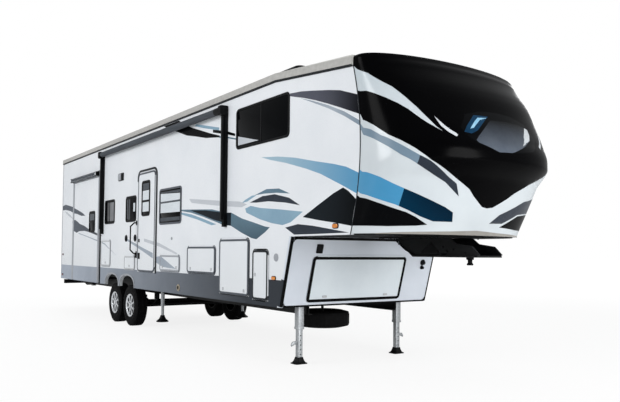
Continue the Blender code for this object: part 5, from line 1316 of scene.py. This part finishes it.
def buildRear():
    back = Vector((-1, 0, 0))
    lampZ, markersZ = rearSet["lampZ"], rearSet["markersZ"]
    for word, side in sides.items():
        y = side * rearSet["lampY"]
        bm = bmesh.new()
        outline = around(y, lampZ, 0.085, 0.046, 0.022)
        slab(bm, onRear(outline, 0.010), back * 0.0115, 0.005, 3)
        lens = finishPiece(bm, "tailLens_" + word, "trailer", "redLens")
        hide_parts("tail_light_" + word)
        bm = bmesh.new()
        ring(bm, onRear(around(y, lampZ, 0.0995, 0.0595, 0.03), 0.0004), 0.016, back * 0.015, 0.004, 3)
        slab(bm, onRear(outline, 0.0004), back * 0.0105)
        finishPiece(bm, "tailBezel_" + word, "trailer", "blackMoulding")
    bm = bmesh.new()
    for y in (-0.20, 0.0, 0.20, -1.14, 1.14):
        slab(bm, onRear(around(y, markersZ, 0.05, 0.018, 0.017), 0.0004), back * 0.016, 0.007, 4)
    finishPiece(bm, "rearMarkers", "trailer", "redLens")
    bm = bmesh.new()
    ring(bm, onRear(roundedOutline(-0.62, 0.98, -0.30, 1.15, 0.012), 0.0004), 0.010, back * 0.010, 0.003)
    slab(bm, onRear(roundedOutline(-0.615, 0.985, -0.305, 1.145, 0.010), 0.0004), back * 0.004, 0.001)
    rod(bm, (-0.001, -0.46, 1.185), (-0.030, -0.46, 1.175), 0.014, rounding=0.003)
    finishPiece(bm, "plateBracket", "trailer", "blackMoulding")
    bm = bmesh.new()
    slab(bm, onRear([(-1.19, 1.075), (1.19, 1.075), (1.19, 0.745), (-1.19, 0.745)], 0.0002), back * 0.0018)
    finishPiece(bm, "rearSkirt", "trailer", "paintedSkirt")
    bm = bmesh.new()
    for y in (-1.15, 1.15):
        block(bm, (-0.1003, y - 0.0022, 0.612), (-0.0003, y + 0.0022, 0.708), 0.002)
    finishPiece(bm, "bumperCaps", "trailer", "gasketRubber")


buildRear()
print("rear wall dressed")

# Roof: air conditioner shroud and vent lid
shroudLevels = ((0.10, 0.0), (0.38, 0.12), (0.66, 0.34), (0.85, 0.62), (0.95, 0.95), (1.0, 1.5))  # height, inset


def buildRoofUnit(node, inset, louvres):
    low, high = nodeBox(node)
    centre, size = (low + high) / 2, high - low
    bm = bmesh.new()
    outline = roundedOutline(low.x, low.y, high.x, high.y, min(0.10, size.y / 3), 8)
    base = [Vector((x, y, low.z)) for x, y in outline]
    face = bm.faces.new([bm.verts.new(point) for point in base])
    if face.normal.z < 0:
        face.normal_flip()
    shrunk = 0.0
    for share, amount in shroudLevels:
        face = bmesh.ops.extrude_discrete_faces(bm, faces=[face])["faces"][0]
        step = (amount - shrunk) * inset
        for vert in face.verts:
            vert.co.z = low.z + size.z * share
            vert.co.x = centre.x + (vert.co.x - centre.x) * (1 - step / (size.x / 2 - shrunk * inset))
            vert.co.y = centre.y + (vert.co.y - centre.y) * (1 - step / (size.y / 2 - shrunk * inset))
        shrunk = amount
    bm.faces.new([bm.verts.new(point) for point in reversed(base)])
    piece = finishPiece(bm, node + "_shroud", "trailer", "blackMoulding", 40)
    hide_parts(node)
    if not louvres:
        return
    bm = bmesh.new()
    for index in range(6):
        z = low.z + size.z * (0.16 + index * 0.075)
        for side in (-1, 1):
            y = centre.y + side * (size.y / 2 - 0.004)
            block(bm, (low.x + 0.18, y - 0.006, z), (high.x - 0.18, y + 0.006, z + 0.010), 0.002, 1)
    finishPiece(bm, node + "_louvres", "trailer", "charcoalTrim")


buildRoofUnit("roof_air_conditioner", 0.06, True)
buildRoofUnit("roof_vent", 0.02, False)
print("roof units built")

# Floor, background and light
stageSet = {
    "floor": "#f4f4f3", "glow": 1.06, "near": 0.80, "sky": 0.48,
    "lamps": (  # name, watts, place, size
        ("keyLamp", 2900, (5.0, -25.0, 9.5), 13.0), ("frontLamp", 980, (23.0, 1.5, 2.8), 7.0),
        ("leftLamp", 800, (-4.0, 22.0, 9.0), 10.0), ("rearLamp", 550, (-14.0, 3.0, 7.0), 8.0)),
}


def buildStage():
    bm = bmesh.new()
    bmesh.ops.create_grid(bm, x_segments=1, y_segments=1, size=150)
    mesh = bpy.data.meshes.new("studioFloor")
    bm.to_mesh(mesh)
    bm.free()
    floor = bpy.data.objects.new("studioFloor", mesh)
    bpy.context.scene.collection.objects.link(floor)
    material = bpy.data.materials.new("studioFloorPaint")  # matt white paint that fades into the backdrop
    material.use_nodes = True
    tree = material.node_tree
    shader = tree.nodes["Principled BSDF"]
    shader.inputs["Base Color"].default_value = linear(stageSet["floor"])
    shader.inputs["Roughness"].default_value = 0.9
    shader.inputs["Specular IOR Level"].default_value = 0.1
    coords = addNode(tree, "ShaderNodeTexCoord")
    reach = addNode(tree, "ShaderNodeVectorMath", {"operation": "LENGTH"}, {0: coords.outputs["Object"]})
    share = addNode(tree, "ShaderNodeMapRange", {"From Min": 9.0, "From Max": 34.0, "To Min": stageSet["near"]},
                    {"Value": reach.outputs["Value"]})
    rays = addNode(tree, "ShaderNodeLightPath")
    seen = addNode(tree, "ShaderNodeMath", {"operation": "MULTIPLY"},
                   {0: rays.outputs["Is Camera Ray"], 1: share.outputs[0]})
    glow = addNode(tree, "ShaderNodeEmission", {"Color": (1, 1, 1, 1), "Strength": stageSet["glow"]})
    blend = addNode(tree, "ShaderNodeMixShader", None,
                    {0: seen.outputs[0], 1: shader.outputs[0], 2: glow.outputs[0]})
    tree.links.new(blend.outputs[0], tree.nodes["Material Output"].inputs["Surface"])
    mesh.materials.append(material)

    world = bpy.data.worlds.new("studioWorld")
    bpy.context.scene.world = world
    world.use_nodes = True
    tree = world.node_tree
    plain = tree.nodes["Background"]
    plain.inputs["Color"].default_value = (0.97, 0.985, 1.0, 1)
    plain.inputs["Strength"].default_value = stageSet["sky"]
    white = addNode(tree, "ShaderNodeBackground", {"Color": (1, 1, 1, 1), "Strength": 1.0})
    rays = addNode(tree, "ShaderNodeLightPath")
    blend = addNode(tree, "ShaderNodeMixShader", None,
                    {0: rays.outputs["Is Camera Ray"], 1: plain.outputs[0], 2: white.outputs[0]})
    tree.links.new(blend.outputs[0], tree.nodes["World Output"].inputs["Surface"])

    target = origin + Vector((6.5, 0.0, 1.8))
    for name, power, place, size in stageSet["lamps"]:
        lamp = bpy.data.lights.new(name, "AREA")
        lamp.shape = "DISK"
        lamp.size = size
        lamp.energy = power
        holder = bpy.data.objects.new(name, lamp)
        holder.location = origin + Vector(place)
        holder.rotation_euler = (target - holder.location).to_track_quat("-Z", "Y").to_euler()
        bpy.context.scene.collection.objects.link(holder)
    bpy.context.scene.view_settings.view_transform = "Standard"


buildStage()
print("stage lit")
